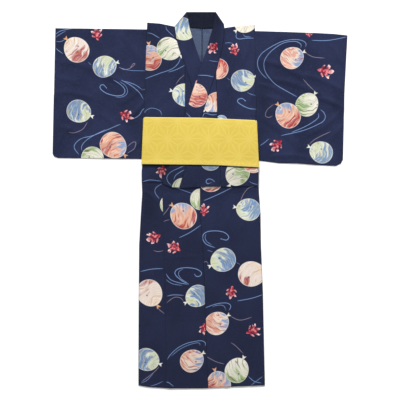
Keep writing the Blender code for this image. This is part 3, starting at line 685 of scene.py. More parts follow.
def draw(places, strokes):
    """For each face the nearest stroke: signed distance and half width.

    The half width thins out at both ends, w(0.35 + 0.65 s/t), and some
    strokes close in a dot, which adds r*exp(-(s/d)^2) at the last end.
    """
    out = np.zeros(places.shape[:2] + (3,))
    out[..., 1] = -FAR
    best = np.full(len(places), np.inf)
    middle = places.mean(1)
    for points, kind in strokes:
        width, dot = STROKES[kind]
        path = flow(points)
        reach = width + dot + STROKE_MARGIN
        near = ((middle > path.min(0) - reach) & (middle < path.max(0) + reach)).all(1)
        ids = np.nonzero(near)[0]
        if not len(ids):
            continue
        away = np.abs(beside(path, middle[ids])[0])
        keep = (away < reach) & (away < best[ids])
        ids = ids[keep]
        if not len(ids):
            continue
        best[ids] = away[keep]
        distance, run, total = beside(path, places[ids].reshape(-1, 2))
        end = np.minimum(run, total - run)
        half = width * np.clip(0.35 + 0.65 * end / STROKE_TAPER, 0, 1)
        beyond = (end <= 0.01) & (np.abs(distance) > width + dot)
        half[beyond] = -FAR / 4
        half = half + dot * np.exp(-((total - run) / DOT_LENGTH) ** 2)
        out[ids] = np.stack([distance, half, np.zeros_like(half)], axis=-1).reshape(-1, 4, 3)
    return out


def placed(name):
    """The balloons and fish of one part of the cloth, as stamps.

    The whole part of a balloon's key picks its colours, and its fraction
    turns the marbling.
    """
    under, over = [], []
    for number, (x, y, radius, knot_x, knot_y, colours, top) in enumerate(BALLOONS.get(name, ())):
        centre = on_cloth(x, y)
        if knot_x is None:
            heading = np.array([math.cos(math.radians(knot_y)), math.sin(math.radians(knot_y))])
        else:
            heading = on_cloth(knot_x, knot_y) - centre
            heading = heading / np.hypot(*heading)
        key = PALETTE.index(colours) + 0.1 + 0.8 * ((number * 0.37 + x * 0.11) % 1)
        (over if top else under).append((centre, heading, radius * PHOTO_PIXEL, key))
    fish = []
    for number, (x, y, length, heading) in enumerate(FISH.get(name, ())):
        turn = math.radians(heading)
        fish.append((on_cloth(x, y), np.array([math.cos(turn), math.sin(turn)]),
                     length / 2 * PHOTO_PIXEL, number + x))
    return under, over, fish


# The print on the sides that lie down, in millimetres
SCATTER_STEP = 118.0      # spacing of its motifs across
ROW_SHARE = 0.62          # spacing of their rows, as a share of it
SCATTER_OFF = 14          # how far each one is moved off its place
BALLOON_SIZES = (44, 52)
FISH_SIZES = (26, 32)
CURL_SIZES = (34, 9)      # a curl's radius from its start to its end
CURL_TURN = 4.4           # and how far it turns, in radians
CURL_POINTS = 9
CURL_OFF = (59, 10)       # where it lies, from the motif beside it
CURL_SQUASH = 0.55
SEEDS = 997               # seeds are counted below this


def scattered(low, high, seed):
    """The same print on a hidden side: balloons on a staggered lattice,
    with fish and curls of water between them."""
    draws = np.random.default_rng(seed)
    balloons, fish, water = [], [], []
    rows = int((high[1] - low[1]) / (SCATTER_STEP * ROW_SHARE)) + 2
    columns = int((high[0] - low[0]) / SCATTER_STEP) + 2
    for row in range(rows):
        for column in range(columns):
            centre = np.array([low[0] + (column + 0.5 * (row % 2)) * SCATTER_STEP,
                               low[1] + row * SCATTER_STEP * ROW_SHARE])
            centre = centre + draws.uniform(-SCATTER_OFF, SCATTER_OFF, 2)
            turn = draws.uniform(0, 2 * math.pi)
            heading = np.array([math.cos(turn), math.sin(turn)])
            key = draws.integers(len(PALETTE)) + draws.uniform(0.1, 0.9)
            kind = (row + 2 * column) % 3
            if kind < 2:
                balloons.append((centre, heading, draws.uniform(*BALLOON_SIZES), key))
            else:
                fish.append((centre, heading, draws.uniform(*FISH_SIZES), key))
            curl = centre + np.array(CURL_OFF)
            bend = turn + np.linspace(0, CURL_TURN, CURL_POINTS)
            size = np.linspace(*CURL_SIZES, CURL_POINTS)
            circle = np.column_stack([np.cos(bend), CURL_SQUASH * np.sin(bend)])
            points = curl + size[:, None] * circle
            pixels = [(PHOTO_CENTRE + x / PHOTO_PIXEL, PHOTO_CENTRE - y / PHOTO_PIXEL)
                      for x, y in points]
            water.append((tuple(pixels), "line"))
    return balloons, fish, water


def print_on(mesh, places, parts):
    """Write the print's local coordinates to the corners of a mesh.

    places holds the four corners of each face in plan. Each part is the name
    of a print and which faces carry it; None stands for a side that lies
    down, where the same motifs are scattered. Neighbouring lines of water go
    to two layers, because a face knows one line of a layer.
    """
    blank = np.zeros(places.shape[:2] + (3,))
    values = {layer: blank + FAR for layer in ("balloon", "balloon_over", "goldfish")}
    for layer in ("water", "water_beside", "cord"):
        values[layer] = blank + (0, -FAR, 0)
    for name, faces in parts:
        if not faces.any():
            continue
        here = places[faces]
        if name is None:
            flat = here.reshape(-1, 2)
            seed = int(abs(flat.sum())) % SEEDS
            under, fish, water = scattered(flat.min(0), flat.max(0), seed)
            over, cords = (), ()
        else:
            under, over, fish = placed(name)
            water = WATER.get(name, ())
            cords = [(points, "cord") for points in CORDS.get(name, ())]
        values["balloon"][faces] = stamp(here, under)
        values["balloon_over"][faces] = stamp(here, over)
        values["goldfish"][faces] = stamp(here, fish)
        values["water"][faces] = draw(here, water[0::2])
        values["water_beside"][faces] = draw(here, water[1::2])
        values["cord"][faces] = draw(here, cords)
    for layer, corners in values.items():
        write(mesh, layer, corners)


def write(mesh, name, corners):
    """Store a vector on every corner of a mesh."""
    slot = mesh.attributes.new(name, "FLOAT_VECTOR", "CORNER")
    slot.data.foreach_set("vector", corners.astype(np.float32).ravel())


def write_shade(mesh, points, quads):
    """Store the soft shade of every corner, as a vector's first number."""
    shade = np.zeros(points.shape)
    shade[:, 0] = soft_shade(points)
    write(mesh, "shade", shade[quads])


def shell(name, points, quads, thickness, materials):
    """A piece of cloth: its middle surface, given a thickness by Solidify."""
    mesh = bpy.data.meshes.new(name)
    mesh.from_pydata((points - np.array([*MIDDLE, 0])) * MM, [], quads.tolist())
    for finish in materials:
        mesh.materials.append(finish)
    mesh.shade_smooth()
    piece = bpy.data.objects.new(name, mesh)
    bpy.context.scene.collection.objects.link(piece)
    solidify = piece.modifiers.new("cloth thickness", "SOLIDIFY")
    solidify.thickness = thickness * MM
    solidify.offset = 0
    if len(materials) > 1:
        solidify.material_offset = 1
    return piece


def strip_area(points):
    """Area of a grid of points, in square metres."""
    a = points[1:, 1:] - points[:-1, :-1]
    b = points[1:, :-1] - points[:-1, 1:]
    return np.linalg.norm(np.cross(a, b), axis=-1).sum() / 2 * MM * MM


def declare(piece, node, points):
    """Attach the piece to the body and hide the solid it replaces; the area of its cut is unused."""
    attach(piece, BODY)
    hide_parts(node)
    area = strip_area(points)


def from_belt(height):
    """Rows below the belt that come down from its back wall to a height."""
    return [("belt_bottom", UNDER_BELT_EDGE, height + BELT_STEP),
            ("belt_bottom", CLEAR_OF_BELT, height)]


def tucked_rows(levels, line, inmost, drop_to):
    """Rows of a front from the neck down through the tuck to the hem."""
    middle = inmost + PITCH
    outer = inmost + 2 * PITCH
    rows = [("level", y, height) for y, height in levels]
    rows += from_belt(outer)
    rows += half_turn(line, 0, outer, middle, -1)
    lower_fold = len(rows)
    rows += reversed(from_belt(middle))
    rows += half_turn("level", TUCK_TOP, middle + BELT_STEP, inmost + BELT_STEP, 1)
    upper_fold = len(rows)
    rows += from_belt(inmost)
    rows += [("level", y, inmost + share * (drop_to - inmost)) for y, share in DROP]
    rows += [("level", y, drop_to) for y in SKIRT_ROWS]
    rows += [("hem", 0, drop_to)]
    return rows, lower_fold, upper_fold


def run_seam(chest, skirt, fold_y, lower_fold, upper_fold, shift=0.0):
    """x of a seam that runs down the chest, through the tuck and down the skirt."""
    at_lower = table(chest, fold_y)
    at_upper = table(skirt, TUCK_TOP)

    def seam(number, y):
        if number < lower_fold:
            return table(chest, y) + shift
        if number < upper_fold:
            climbed = np.clip((y - fold_y) / (TUCK_TOP - fold_y), 0, 1)
            return at_lower + (at_upper - at_lower) * climbed + shift
        return table(skirt, y) + shift
    return seam


def back_rows(step_in):
    """Rows of a back panel from the hem up to the neckline's inner end."""
    inmost = TUCK_BACK
    rows = [("hem", 0, GROUND_LAYER)]
    rows += [("level", y, GROUND_LAYER) for y in reversed(SKIRT_ROWS)]
    rows += [("level", y, inmost + share * (GROUND_LAYER - inmost))
             for y, share in reversed(DROP)]
    rows += reversed(from_belt(inmost))
    rows += half_turn("level", TUCK_TOP, inmost + BELT_STEP, SECOND_LAYER + BELT_STEP, 1)
    rows += from_belt(SECOND_LAYER)
    rows += half_turn("tuck_back", 0, SECOND_LAYER, GROUND_LAYER, -1)
    rows += reversed(from_belt(GROUND_LAYER))
    rows += [("level", UNDER_BELT_ROW, GROUND_LAYER + BELT_STEP)]
    rows += [("belt_top", offset, GROUND_LAYER + BELT_STEP * share)
             for offset, share in BELT_DESCENT]
    rows += [("level", y, GROUND_LAYER) for y in BACK_ROWS]
    rows += [("shoulder", offset, GROUND_LAYER) for offset in step_in]
    return rows


def body_panel(name, side, back_side, centre, okumi_seam, collar_seam, skirt_seam,
               step_in, levels, line, inmost, drop_to, fold_y, finishes, rests_on, droop):
    """One body panel: back hem, shoulder, front, tuck and front hem."""
    toward_side = math.copysign(1, side[0][1])
    back = back_rows(step_in)
    half_neck = sorted((pair for pair in NECKLINE if toward_side * (pair[0] - CENTRE_SEAM) >= 0),
                       key=lambda pair: abs(pair[0] - CENTRE_SEAM))
    neck = [("shoulder", -dip, GROUND_LAYER) for _, dip in half_neck]
    neck_x = [centre] + [x for x, _ in half_neck[1:]]
    over = half_turn("shoulder", 0, GROUND_LAYER, THIRD_LAYER, 1)
    front, lower_fold, upper_fold = tucked_rows(levels, line, inmost, drop_to)
    front = [("shoulder", offset, THIRD_LAYER) for offset in FRONT_START] + front
    lower_fold += len(FRONT_START)
    upper_fold += len(FRONT_START)
    chest = tuple(pair for pair in collar_seam if pair[0] > okumi_seam[0][0]) + okumi_seam
    front_seam = run_seam(chest, skirt_seam, fold_y, lower_fold, upper_fold,
                          toward_side * SEAM)
    start_neck = len(back)
    start_over = start_neck + len(neck)
    start_front = start_over + len(over)
    at_shoulder = line_y("shoulder", collar_seam[SHOULDER_POINT][1], 0)
    shoulder_end = table(collar_seam, at_shoulder)

    def inner(number, y):
        if number < start_neck:
            return centre
        if number < start_over:
            return neck_x[number - start_neck]
        if number < start_front:
            return shoulder_end + toward_side * SEAM
        return front_seam(number - start_front, y)

    def outer(number, y):
        if number < start_front and y > BACK_EDGE_FOOT:
            return table(back_side if number < start_over else side, y)
        return table(side, y)

    coarse = strip(back + neck + over + front, inner, outer, BODY_COLUMNS)
    points, origin = refine(coarse, VISIBLE_STEP, start_over)
    parts = ((start_over + TURN_STEPS / 2, None), (start_front + lower_fold - TURN_STEPS / 2, name),
             (start_front + upper_fold, "inside"), (len(coarse), name + "_skirt"))
    return cloth_piece(name, points, origin, parts, (SEAM_DIP, droop), finishes, CLOTH)


def seam_distance(points):
    """How far each point of a strip is from its near and its far edge."""
    step = np.linalg.norm(np.diff(points, axis=1), axis=2)
    near = np.concatenate([np.zeros((len(points), 1)), step.cumsum(1)], axis=1)
    return near, near[:, -1:] - near


def cloth_piece(name, points, origin, parts, droop, finishes, thickness):
    """A strip of printed cloth as a piece: creased, printed, attached to the body, its solid hidden.

    parts names the print of each stretch of rows by the row where it ends,
    and droop is how far the near and the far edge hang down. The "seam"
    attribute tells the cloth how far each corner is from the near edge, from
    the far edge and from the belt's lower edge, in millimetres.
    """
    rows, columns = points.shape[:2]
    quads = grid_faces(rows, columns)
    if points[-1, -1, 0] > points[-1, 0, 0]:
        quads = quads[:, ::-1]
    plan = points.reshape(-1, 3)[:, :2].copy()
    near, far = seam_distance(points)
    lifted = crease(points.copy())
    for distance, depth in ((near, droop[0]), (far, droop[1])):
        lifted[..., 2] -= depth * np.exp(-(distance / GROOVE) ** 2) * raised(points)
    piece = shell(name + "_cloth", lifted.reshape(-1, 3), quads, thickness, finishes)
    place = np.repeat((origin[1:] + origin[:-1]) / 2, columns - 1)
    covered = []
    start = -1.0
    for end, key in parts:
        covered.append((key, (place >= start) & (place < end)))
        start = end
    print_on(piece.data, plan[quads], covered)
    # distance from the belt's lower edge, for the painted shadow under it
    belt_edge_distance = np.abs(line_y("belt_bottom", points[..., 0], 0) - points[..., 1])
    belt_edge_distance = np.where(points[..., 2] > SECOND_LAYER, belt_edge_distance, AWAY)
    edges = np.stack([near, far, belt_edge_distance], axis=-1).reshape(-1, 3)
    write(piece.data, "seam", edges[quads])
    write_shade(piece.data, points.reshape(-1, 3), quads)
    declare(piece, name, points)
    return piece


def okumi(name, chest_edge, skirt_edge, okumi_seam, skirt_seam, levels, line, inmost,
          drop_to, fold_y, toward_side, finishes, rests_on):
    """The narrow front strip between collar and body, tucked like the body."""
    start = okumi_seam[0][0]
    chest = [pair for pair in levels if pair[0] < start] + [(PLEAT, table(levels, PLEAT))]
    rows, lower_fold, upper_fold = tucked_rows(sorted(chest, reverse=True), line, inmost, drop_to)
    first = start - OKUMI_START
    rows = [("level", first, table(levels, first))] + rows
    lower_fold += 1
    upper_fold += 1
    pleat_row = [row[1] for row in rows].index(PLEAT)
    belt_row = [row[0] for row in rows].index("belt_bottom")
    edge = run_seam(chest_edge, skirt_edge, fold_y, lower_fold, upper_fold,
                    toward_side * SEAM)
    seam = run_seam(okumi_seam, skirt_seam, fold_y, lower_fold, upper_fold)
    coarse = strip(rows, edge, seam, OKUMI_COLUMNS)
    points, origin = refine(coarse, VISIBLE_STEP)
    parts = ((pleat_row, name), (belt_row - 1, name + "_fold"),
             (lower_fold - TURN_STEPS / 2, name), (upper_fold, "inside"),
             (len(coarse), name + "_skirt"))
    return cloth_piece(name, points, origin, parts, (SEAM_DIP, SEAM_DIP), finishes, CLOTH)


def collar_band(name, edge, seam, levels, line, outer_level, finishes):
    """The band on one front edge, crowned across: z rises by c(1 - (2t - 1)^4)
    from its edges to its middle."""
    rows = [("level", y, height) for y, height in COLLAR_NECK]
    rows += [("level", y, height + COLLAR_LIFT) for y, height in levels]
    top = outer_level + COLLAR_LIFT
    rows += from_belt(top)
    rows += [(line, offset, top - down) for offset, down in COLLAR_FOOT]
    coarse = strip(rows, lambda number, y: table(edge, y), lambda number, y: table(seam, y),
                   COLLAR_COLUMNS)
    points, origin = refine(coarse, VISIBLE_STEP)
    across = np.linspace(-1, 1, points.shape[1])
    points[..., 2] += COLLAR_CROWN * (1 - across ** 4) - COLLAR_CROWN / 2
    return cloth_piece(name, points, origin, ((len(coarse), name),), (0, 0), finishes,
                       COLLAR_CLOTH)


def collar_stand(finishes):
    """The stand behind the neck, between the two bands: straight down from
    its top edge to the neckline, bowed up between them by b sin(pi t)."""
    x = np.linspace(STAND_TOP[0][0], STAND_TOP[-1][0], STAND_COLUMNS + 1)
    top = table(STAND_TOP, x)
    bottom = line_y("shoulder", x, SEAM) - table(NECKLINE, x)
    share = np.linspace(0, 1, STAND_ROWS + 1)[:, None]
    y = top + share * (bottom - top)
    z = COLLAR_WALL / 2 + STAND_BOW * np.sin(math.pi * share) + 0 * y
    points = np.stack([np.broadcast_to(x, y.shape), y, z], axis=2)
    quads = grid_faces(*points.shape[:2])
    piece = shell("collar_stand", points.reshape(-1, 3), quads, COLLAR_CLOTH, finishes)
    declare(piece, "collar_back", points)
    return piece


def sleeve(name, edges, finishes):
    """A bag: two walls that turn into each other at the top, at the bottom
    and at the outer edge below the hand opening. x and y are a blend of the
    four edges (a Coons patch), and the walls differ in height."""
    marks = np.array(edges["rows"], dtype=float)
    counts = np.maximum(2, np.ceil(np.diff(marks) * SLEEVE_DEPTH / VISIBLE_STEP)).astype(int)
    fine = [np.linspace(a, b, count + 1)[:-1]
            for a, b, count in zip(marks[:-1], marks[1:], counts)]
    rows = np.concatenate(fine + [marks[-1:]])[:, None]
    mouth_row = sum(len(part) for part in fine[:MOUTH_ROW])
    across = np.linspace(0, 1, SLEEVE_COLUMNS + 1)[None, :]
    ends = {}
    for side in ("outer", "inner"):
        edge = edges[side]
        y = edge[0][0] + rows * (edge[-1][0] - edge[0][0])
        ends[side] = (table(edge, y), y)
    x = ends["outer"][0] + across * (ends["inner"][0] - ends["outer"][0])
    y = ends["outer"][1] + across * (ends["inner"][1] - ends["outer"][1])
    top_bow = table(edges["top"], x[0]) - y[0]
    bottom_bow = table(edges["bottom"], x[-1]) - y[-1]
    y = y + (1 - rows) * top_bow + rows * bottom_bow
    lower = np.stack([x, y, np.full_like(x, GROUND_LAYER)], axis=2)
    upper = np.stack([x, y, np.full_like(x, SECOND_LAYER)], axis=2)
    half = PITCH / 2
    middle = (GROUND_LAYER + SECOND_LAYER) / 2
    bottom_turn = np.stack([x[-1], y[-1] - half, np.full_like(x[-1], middle)], axis=1)[None]
    top_turn = np.stack([x[0], y[0] + half, np.full_like(x[0], middle)], axis=1)[None]
    ring = np.concatenate([lower, bottom_turn, upper[::-1], top_turn])
    loops, columns = ring.shape[:2]
    flat = ring.reshape(-1, 3)
    quads = grid_faces(loops, columns, closed=True)
    away = math.copysign(half, edges["outer"][0][1])
    count = len(rows)
    seam_rows = np.arange(mouth_row, count - 1)
    seam_points = np.column_stack([x[seam_rows, 0] + away, y[seam_rows, 0],
                                   np.full(len(seam_rows), middle)])
    bulge = np.append(len(flat) + np.arange(len(seam_rows)), count * columns)
    below = seam_rows * columns
    above = (2 * count - seam_rows) * columns
    under_side = np.stack([below, below + columns, bulge[1:], bulge[:-1]], axis=1)
    upper_side = np.stack([bulge[:-1], bulge[1:], above - columns, above], axis=1)
    quads = np.concatenate([quads, under_side, upper_side])
    if away > 0:
        quads = quads[:, ::-1]
    flat = np.concatenate([flat, seam_points])
    piece = shell(name + "_cloth", crease(flat.copy()), quads, CLOTH, finishes)
    below = flat[quads][..., 2].mean(1) < middle - UNDERSIDE
    print_on(piece.data, flat[quads][..., :2], ((None, below), (name, ~below)))
    seams = np.full(flat.shape, AWAY)
    seams[:, 0] = np.abs(flat[:, 0] - table(edges["inner"], flat[:, 1]))
    write(piece.data, "seam", seams[quads])
    write_shade(piece.data, flat, quads)
    closed_ring = np.concatenate([ring, ring[:1]])
    declare(piece, name, closed_ring)
    return piece


def belt(finishes):
    """The belt: a flattened ring, carried down its rows from top to bottom.

    Each ring is four quarter circles joined by straight runs. Its upper
    corners are then rounded, y drops by r - sqrt(r^2 - a^2), and its upper
    edge is rolled in.
    """
    rings = []
    for line, offset, front in BELT_ROWS:
        left = table(BELT_EDGE_LEFT_OF_VIEW, line_y(line, -BELT_EDGE_X, offset)) + BELT_WALL / 2
        right = table(BELT_EDGE_RIGHT_OF_VIEW, line_y(line, BELT_EDGE_X, offset)) - BELT_WALL / 2
        span = right - left - 2 * BELT_CORNER
        run = left + BELT_CORNER + np.linspace(0, 1, BELT_RUN + 1)[1:-1] * span
        parts = []
        corners = ((left, BELT_LAYER, 1, 1, 270), (left, front, 1, -1, 180),
                   (right, front, -1, -1, 90), (right, BELT_LAYER, -1, 1, 0))
        for x, z, inward_x, inward_z, start in corners:
            angle = np.radians(start - np.linspace(0, 90, BELT_CORNER_STEPS + 1))
            parts.append(np.column_stack([x + BELT_CORNER * (inward_x + np.cos(angle)),
                                          z + BELT_CORNER * (inward_z + np.sin(angle))]))
            if (x, z) == (left, front):
                parts.append(np.column_stack([run, np.full_like(run, front)]))
            if (x, z) == (right, BELT_LAYER):
                parts.append(np.column_stack([run[::-1], np.full_like(run, BELT_LAYER)]))
        ring = np.concatenate(parts)
        rings.append(np.column_stack([ring[:, 0], line_y(line, ring[:, 0], offset), ring[:, 1]]))
    rings, _ = refine(np.array(rings), BELT_MESH_STEP)
    points = rings.transpose(1, 0, 2).copy()
    soft = smooth(points[..., 2], *BELT_FRONT)
    top, bottom = seam_distance(points)
    into_corner = np.abs(points[..., 0]) - (np.abs(points[..., 0]).max(0) - CORNER_ROUND)
    into_corner = np.clip(into_corner / CORNER_ROUND, 0, 1)
    corner = CORNER_ROUND * (1 - np.sqrt(1 - into_corner ** 2))
    points[..., 1] -= (TOP_INSET + corner) * np.exp(-top / TOP_ROLL)
    points[..., 2] += soft * belt_relief(points[..., 0], points[..., 1])
    quads = grid_faces(*points.shape[:2], closed=True)
    piece = shell("belt_cloth", points.reshape(-1, 3), quads, BELT_CLOTH, finishes)
    edges = np.stack([top, bottom, np.zeros_like(top)], axis=-1).reshape(-1, 3)
    write(piece.data, "seam", edges[quads])
    declare(piece, "obi", np.concatenate([points, points[:1]]))
    return piece


def belt_relief(x, y):
    """Height added to the belt's front: two shallow sine waves, and at each
    edge a bell exp(-(d/w)^2), which rolls the upper edge down by half a
    millimetre and lifts the lower one a little proud of the tuck."""
    top = line_y("belt_top", x, 0)
    bottom = line_y("belt_bottom", x, 0)
    upper = np.exp(-((top - y) / 7) ** 2)
    lower = np.exp(-((y - bottom) / 12) ** 2)
    waves = 0.45 * np.sin(x / 47 + y / 90) + 0.35 * np.sin(x / 23 - y / 31)
    return waves * (1 - 0.8 * (upper + lower)) - 0.54 * upper + LOWER_LIFT * lower


def srgb(red, green, blue):
    """A colour given as 0 to 255, as the linear values that a shader takes."""
    share = np.array([red, green, blue]) / 255
    linear = np.where(share <= 0.04045, share / 12.92, ((share + 0.055) / 1.055) ** 2.4)
    return (*linear.tolist(), 1.0)


class Signal:
    """A number that varies over the cloth; arithmetic on it adds Math nodes."""

    def __init__(self, cloth, socket):
        self.cloth = cloth
        self.socket = socket

    def math(self, operation, *others):
        return self.cloth.node("ShaderNodeMath", {"operation": operation},
                               [self, *others]).out("Value")

    def __add__(self, other):
        return self.math("ADD", other)

    __radd__ = __add__

    def __sub__(self, other):
        return self.math("SUBTRACT", other)

    def __rsub__(self, other):
        return (self * -1) + other

    def __mul__(self, other):
        return self.math("MULTIPLY", other)

    __rmul__ = __mul__

    def __truediv__(self, other):
        return self.math("DIVIDE", other)

    def __pow__(self, other):
        return self.math("POWER", other)

    def __abs__(self):
        return self.math("ABSOLUTE")

    def fade(self, low, high):
        """0 below low and 1 above high, smooth between; low may be the larger."""
        return self.cloth.node("ShaderNodeMapRange", {"interpolation_type": "SMOOTHSTEP"},
                               {"Value": self, "From Min": low, "From Max": high}).out("Result")


class Made:
    """A node that was just made, with its outputs by name."""

    def __init__(self, cloth, node):
        self.cloth = cloth
        self.node = node

    def out(self, name):
        return Signal(self.cloth, self.node.outputs[name])


class Cloth:
    """One material and the nodes in it."""

    def __init__(self, name, **constants):
        self.material = bpy.data.materials.new(name)
        self.material.use_nodes = True
        self.tree = self.material.node_tree
        self.shader = self.tree.nodes["Principled BSDF"]
        for socket, value in constants.items():
            self.shader.inputs[socket.replace("_", " ")].default_value = value

    def node(self, kind, settings=None, values=None):
        """Make a node: settings first, then its sockets by name or by order."""
        made = self.tree.nodes.new(kind)
        for key, value in (settings or {}).items():
            if key == "stops":
                self.stops(made.color_ramp, value)
            else:
                setattr(made, key, value)
        pairs = values.items() if isinstance(values, dict) else enumerate(values or [])
        for key, value in pairs:
            self.feed(made.inputs[key], value)
        return Made(self, made)

    def stops(self, ramp, stops):
        """Set a ramp's steps, each a place and the colour from there on."""
        ramp.interpolation = "CONSTANT"
        while len(ramp.elements) < len(stops):
            ramp.elements.new(1.0)
        for element, (place, colour) in zip(ramp.elements, stops):
            element.position = place
            element.color = colour

    def feed(self, socket, value):
        """Link a signal to a socket, or set a plain value on it."""
        if isinstance(value, Signal):
            self.tree.links.new(value.socket, socket)
        else:
            socket.default_value = value

    def mix(self, share, first, second):
        """A colour between two colours."""
        made = self.node("ShaderNodeMix", {"data_type": "RGBA"}).node
        self.feed(made.inputs[0], share)
        self.feed(made.inputs[6], first)
        self.feed(made.inputs[7], second)
        return Signal(self, made.outputs[2])

    def split(self, vector):
        parts = self.node("ShaderNodeSeparateXYZ", None, [vector])
        return parts.out("X"), parts.out("Y"), parts.out("Z")

    def join(self, x, y, z=0.0):
        return self.node("ShaderNodeCombineXYZ", None, [x, y, z]).out("Vector")

    def place(self):
        """Where the point is on the robe, in metres."""
        return self.node("ShaderNodeTexCoord").out("Object")

    def written(self, name):
        """A vector written to the corners of the mesh."""
        return self.node("ShaderNodeAttribute", {"attribute_name": name}).out("Vector")

    def noise(self, vector, scale, detail=2.0):
        return self.node("ShaderNodeTexNoise", None,
                         {"Vector": vector, "Scale": scale, "Detail": detail}).out("Fac")

    def pick(self, key, choices):
        """The one of some colours that the key's whole number stands for."""
        stops = [(number / len(choices), colour) for number, colour in enumerate(choices)]
        ramp = self.node("ShaderNodeValToRGB", {"stops": stops}, [key / len(choices)])
        return ramp.out("Color")

    def palette(self, key, part):
        """The balloon colour that a key stands for."""
        return self.pick(key, [srgb(*BALLOON_COLOURS[name][part]) for name in PALETTE])

    def share(self, key):
        """How far a balloon's second colour spreads."""
        return self.pick(key, [(*[SECOND_SHARE[name]] * 3, 1.0) for name in PALETTE])

    def finish(self, colour, height, distance):
        """Feed the colour and a bump to the shader."""
        self.feed(self.shader.inputs["Base Color"], colour)
        bump = self.node("ShaderNodeBump", None,
                         {"Height": height, "Distance": distance, "Strength": 1.0})
        self.feed(self.shader.inputs["Normal"], bump.out("Normal"))
        return self.material


THREAD = 0.9 * MM         # spacing of the cotton's threads
SLUB_SCALE = 160.0        # noise scale of its uneven threads
COTTON_BUMP = 0.12 * MM   # height of its surface
NAVY = srgb(34, 41, 70)
NAVY_DEEP = srgb(27, 33, 59)
NAVY_PALE = srgb(46, 54, 84)
# painted shade: the navy where less light falls, towards the hem
NAVY_PAINTED_SHADE = srgb(24, 29, 52)
WATER_BLUE = srgb(128, 156, 202)
WATER_SHADE = srgb(30, 54, 102)
CORD_GREY = srgb(142, 128, 146)
RIM_CREAM = srgb(226, 222, 215)
DOT_BLUE = srgb(56, 52, 84)
FISH_RED = srgb(150, 42, 58)
FISH_DARK = srgb(106, 26, 44)
FISH_PINK = srgb(214, 122, 128)
FISH_PALE = srgb(240, 204, 206)
SEAM_SHADE = srgb(14, 17, 32)
NO_LIGHT = srgb(0, 0, 0)
INSIDE_BLUE = srgb(47, 59, 83)
INSIDE_PALE = srgb(58, 71, 97)
INSIDE_THREAD = srgb(78, 91, 117)
INSIDE_TRACE = srgb(150, 160, 176)
# the collar's navy and its threads, darkened with painted shade
COLLAR_NAVY_SHADED = srgb(15, 18, 32)
COLLAR_THREAD_SHADED = srgb(23, 27, 45)


def cotton(name, roughness, sheen, gloss):
    """A cotton material, the place on it and the noise of its uneven threads."""
    cloth = Cloth(name, Roughness=roughness, Sheen_Weight=sheen, Sheen_Roughness=0.5,
                  Specular_IOR_Level=gloss)
    place = cloth.place()
    return cloth, place, cloth.noise(place, SLUB_SCALE, 3.0)


def finish_cotton(cloth, place, slub, colour):
    """Give cotton its colour and the height of a plain weave: warp and weft
    crests that take turns on top, with the uneven threads."""
    x, y, _ = cloth.split(place)
    warp = (x * (2 * math.pi / THREAD)).math("SINE")
    weft = (y * (2 * math.pi / THREAD)).math("SINE")
    return cloth.finish(colour, warp * weft * 0.25 + slub * 0.5, COTTON_BUMP)


def draw_balloon(cloth, layer, under):
    """Paint one layer of water balloons over a colour.

    In a balloon's own frame u points to the knot and the rim is at 1. The
    marbling runs in arcs about a point beyond the knot: a noise read in the
    arc's radius and angle parts the rubber into three colours, and its level
    lines are the fine strokes.
    """
    u, v, key = cloth.split(cloth.written(layer))
    egg = v * (1.10 + 0.08 * u)
    rim = (u * u + egg * egg) ** 0.5
    inside = rim.fade(1.0, 0.965)
    turn = (key.math("FRACT")) * 6.283
    lean = turn.math("SINE")
    warp = cloth.noise(cloth.join(u + key * 7.3, v, key * 3.1), 1.1, 1.0)
    off_u = 1.15 - u
    off_v = v - 0.9 * lean
    arc = (off_u * off_u + off_v * off_v) ** 0.5 + 0.7 * (warp - 0.5)
    angle = off_v.math("ARCTAN2", off_u)
    marble = cloth.noise(cloth.join(arc * 2.4, angle * 0.7, key * 5.7), 1.5, 1.5)
    lines = cloth.noise(cloth.join(arc * 4.6, angle * 0.34, key * 2.3 + 4), 1.2, 0.0)
    side = v * lean * 0.60 - u * 0.66
    tone = cloth.noise(cloth.join(arc * 7.5, angle * 1.7, key * 1.9 + 2), 1.6, 2.0)
    level = (marble - 0.5) * 2.5 + (tone - 0.5) * 0.9
    second = (level + side * 0.74 + cloth.share(key)).fade(0.54, 0.84)
    third = (level * -0.8 - side * 0.80 - 0.06).fade(0.06, 0.48)
    colour = cloth.mix(third * 0.9, cloth.palette(key, 0), cloth.palette(key, 2))
    colour = cloth.mix(second * 0.92, colour, cloth.palette(key, 1))
    colour = cloth.mix(tone.fade(0.50, 0.78) * 0.55, colour, RIM_CREAM)
    streak = (arc * 17 + marble * 6).math("SINE").fade(0.84, 1.0) * (marble - 0.5).fade(-0.04, 0.10)
    colour = cloth.mix(streak * 0.65, colour, RIM_CREAM)
    fine = abs(lines - 0.5).fade(0.034, 0.008) * tone.fade(0.24, 0.40)
    colour = cloth.mix(fine * 0.72, colour, cloth.palette(key, 3))
    sweep = abs((arc * 9 + marble * 5).math("SINE") - 0.55).fade(0.16, 0.03) * tone.fade(0.42, 0.56)
    colour = cloth.mix(sweep * 0.42, colour, cloth.palette(key, 3))
    dot_u = u - 0.22 * lean
    dot_v = v + 0.25
    colour = cloth.mix((dot_u * dot_u + dot_v * dot_v).fade(0.007, 0.002) * 0.7, colour, DOT_BLUE)
    colour = cloth.mix(rim.fade(0.92, 0.975) * 0.75, colour, RIM_CREAM)
    painted = cloth.mix(inside, under, colour)
    flare = 0.04 + 0.42 * (u - 1.0)
    trumpet = (abs(v) - flare).fade(0.03, -0.01)
    knot = trumpet * u.fade(0.97, 1.0) * (u - 0.5 * abs(v)).fade(1.20, 1.17)
    return cloth.mix(knot, painted, cloth.palette(key, 4))


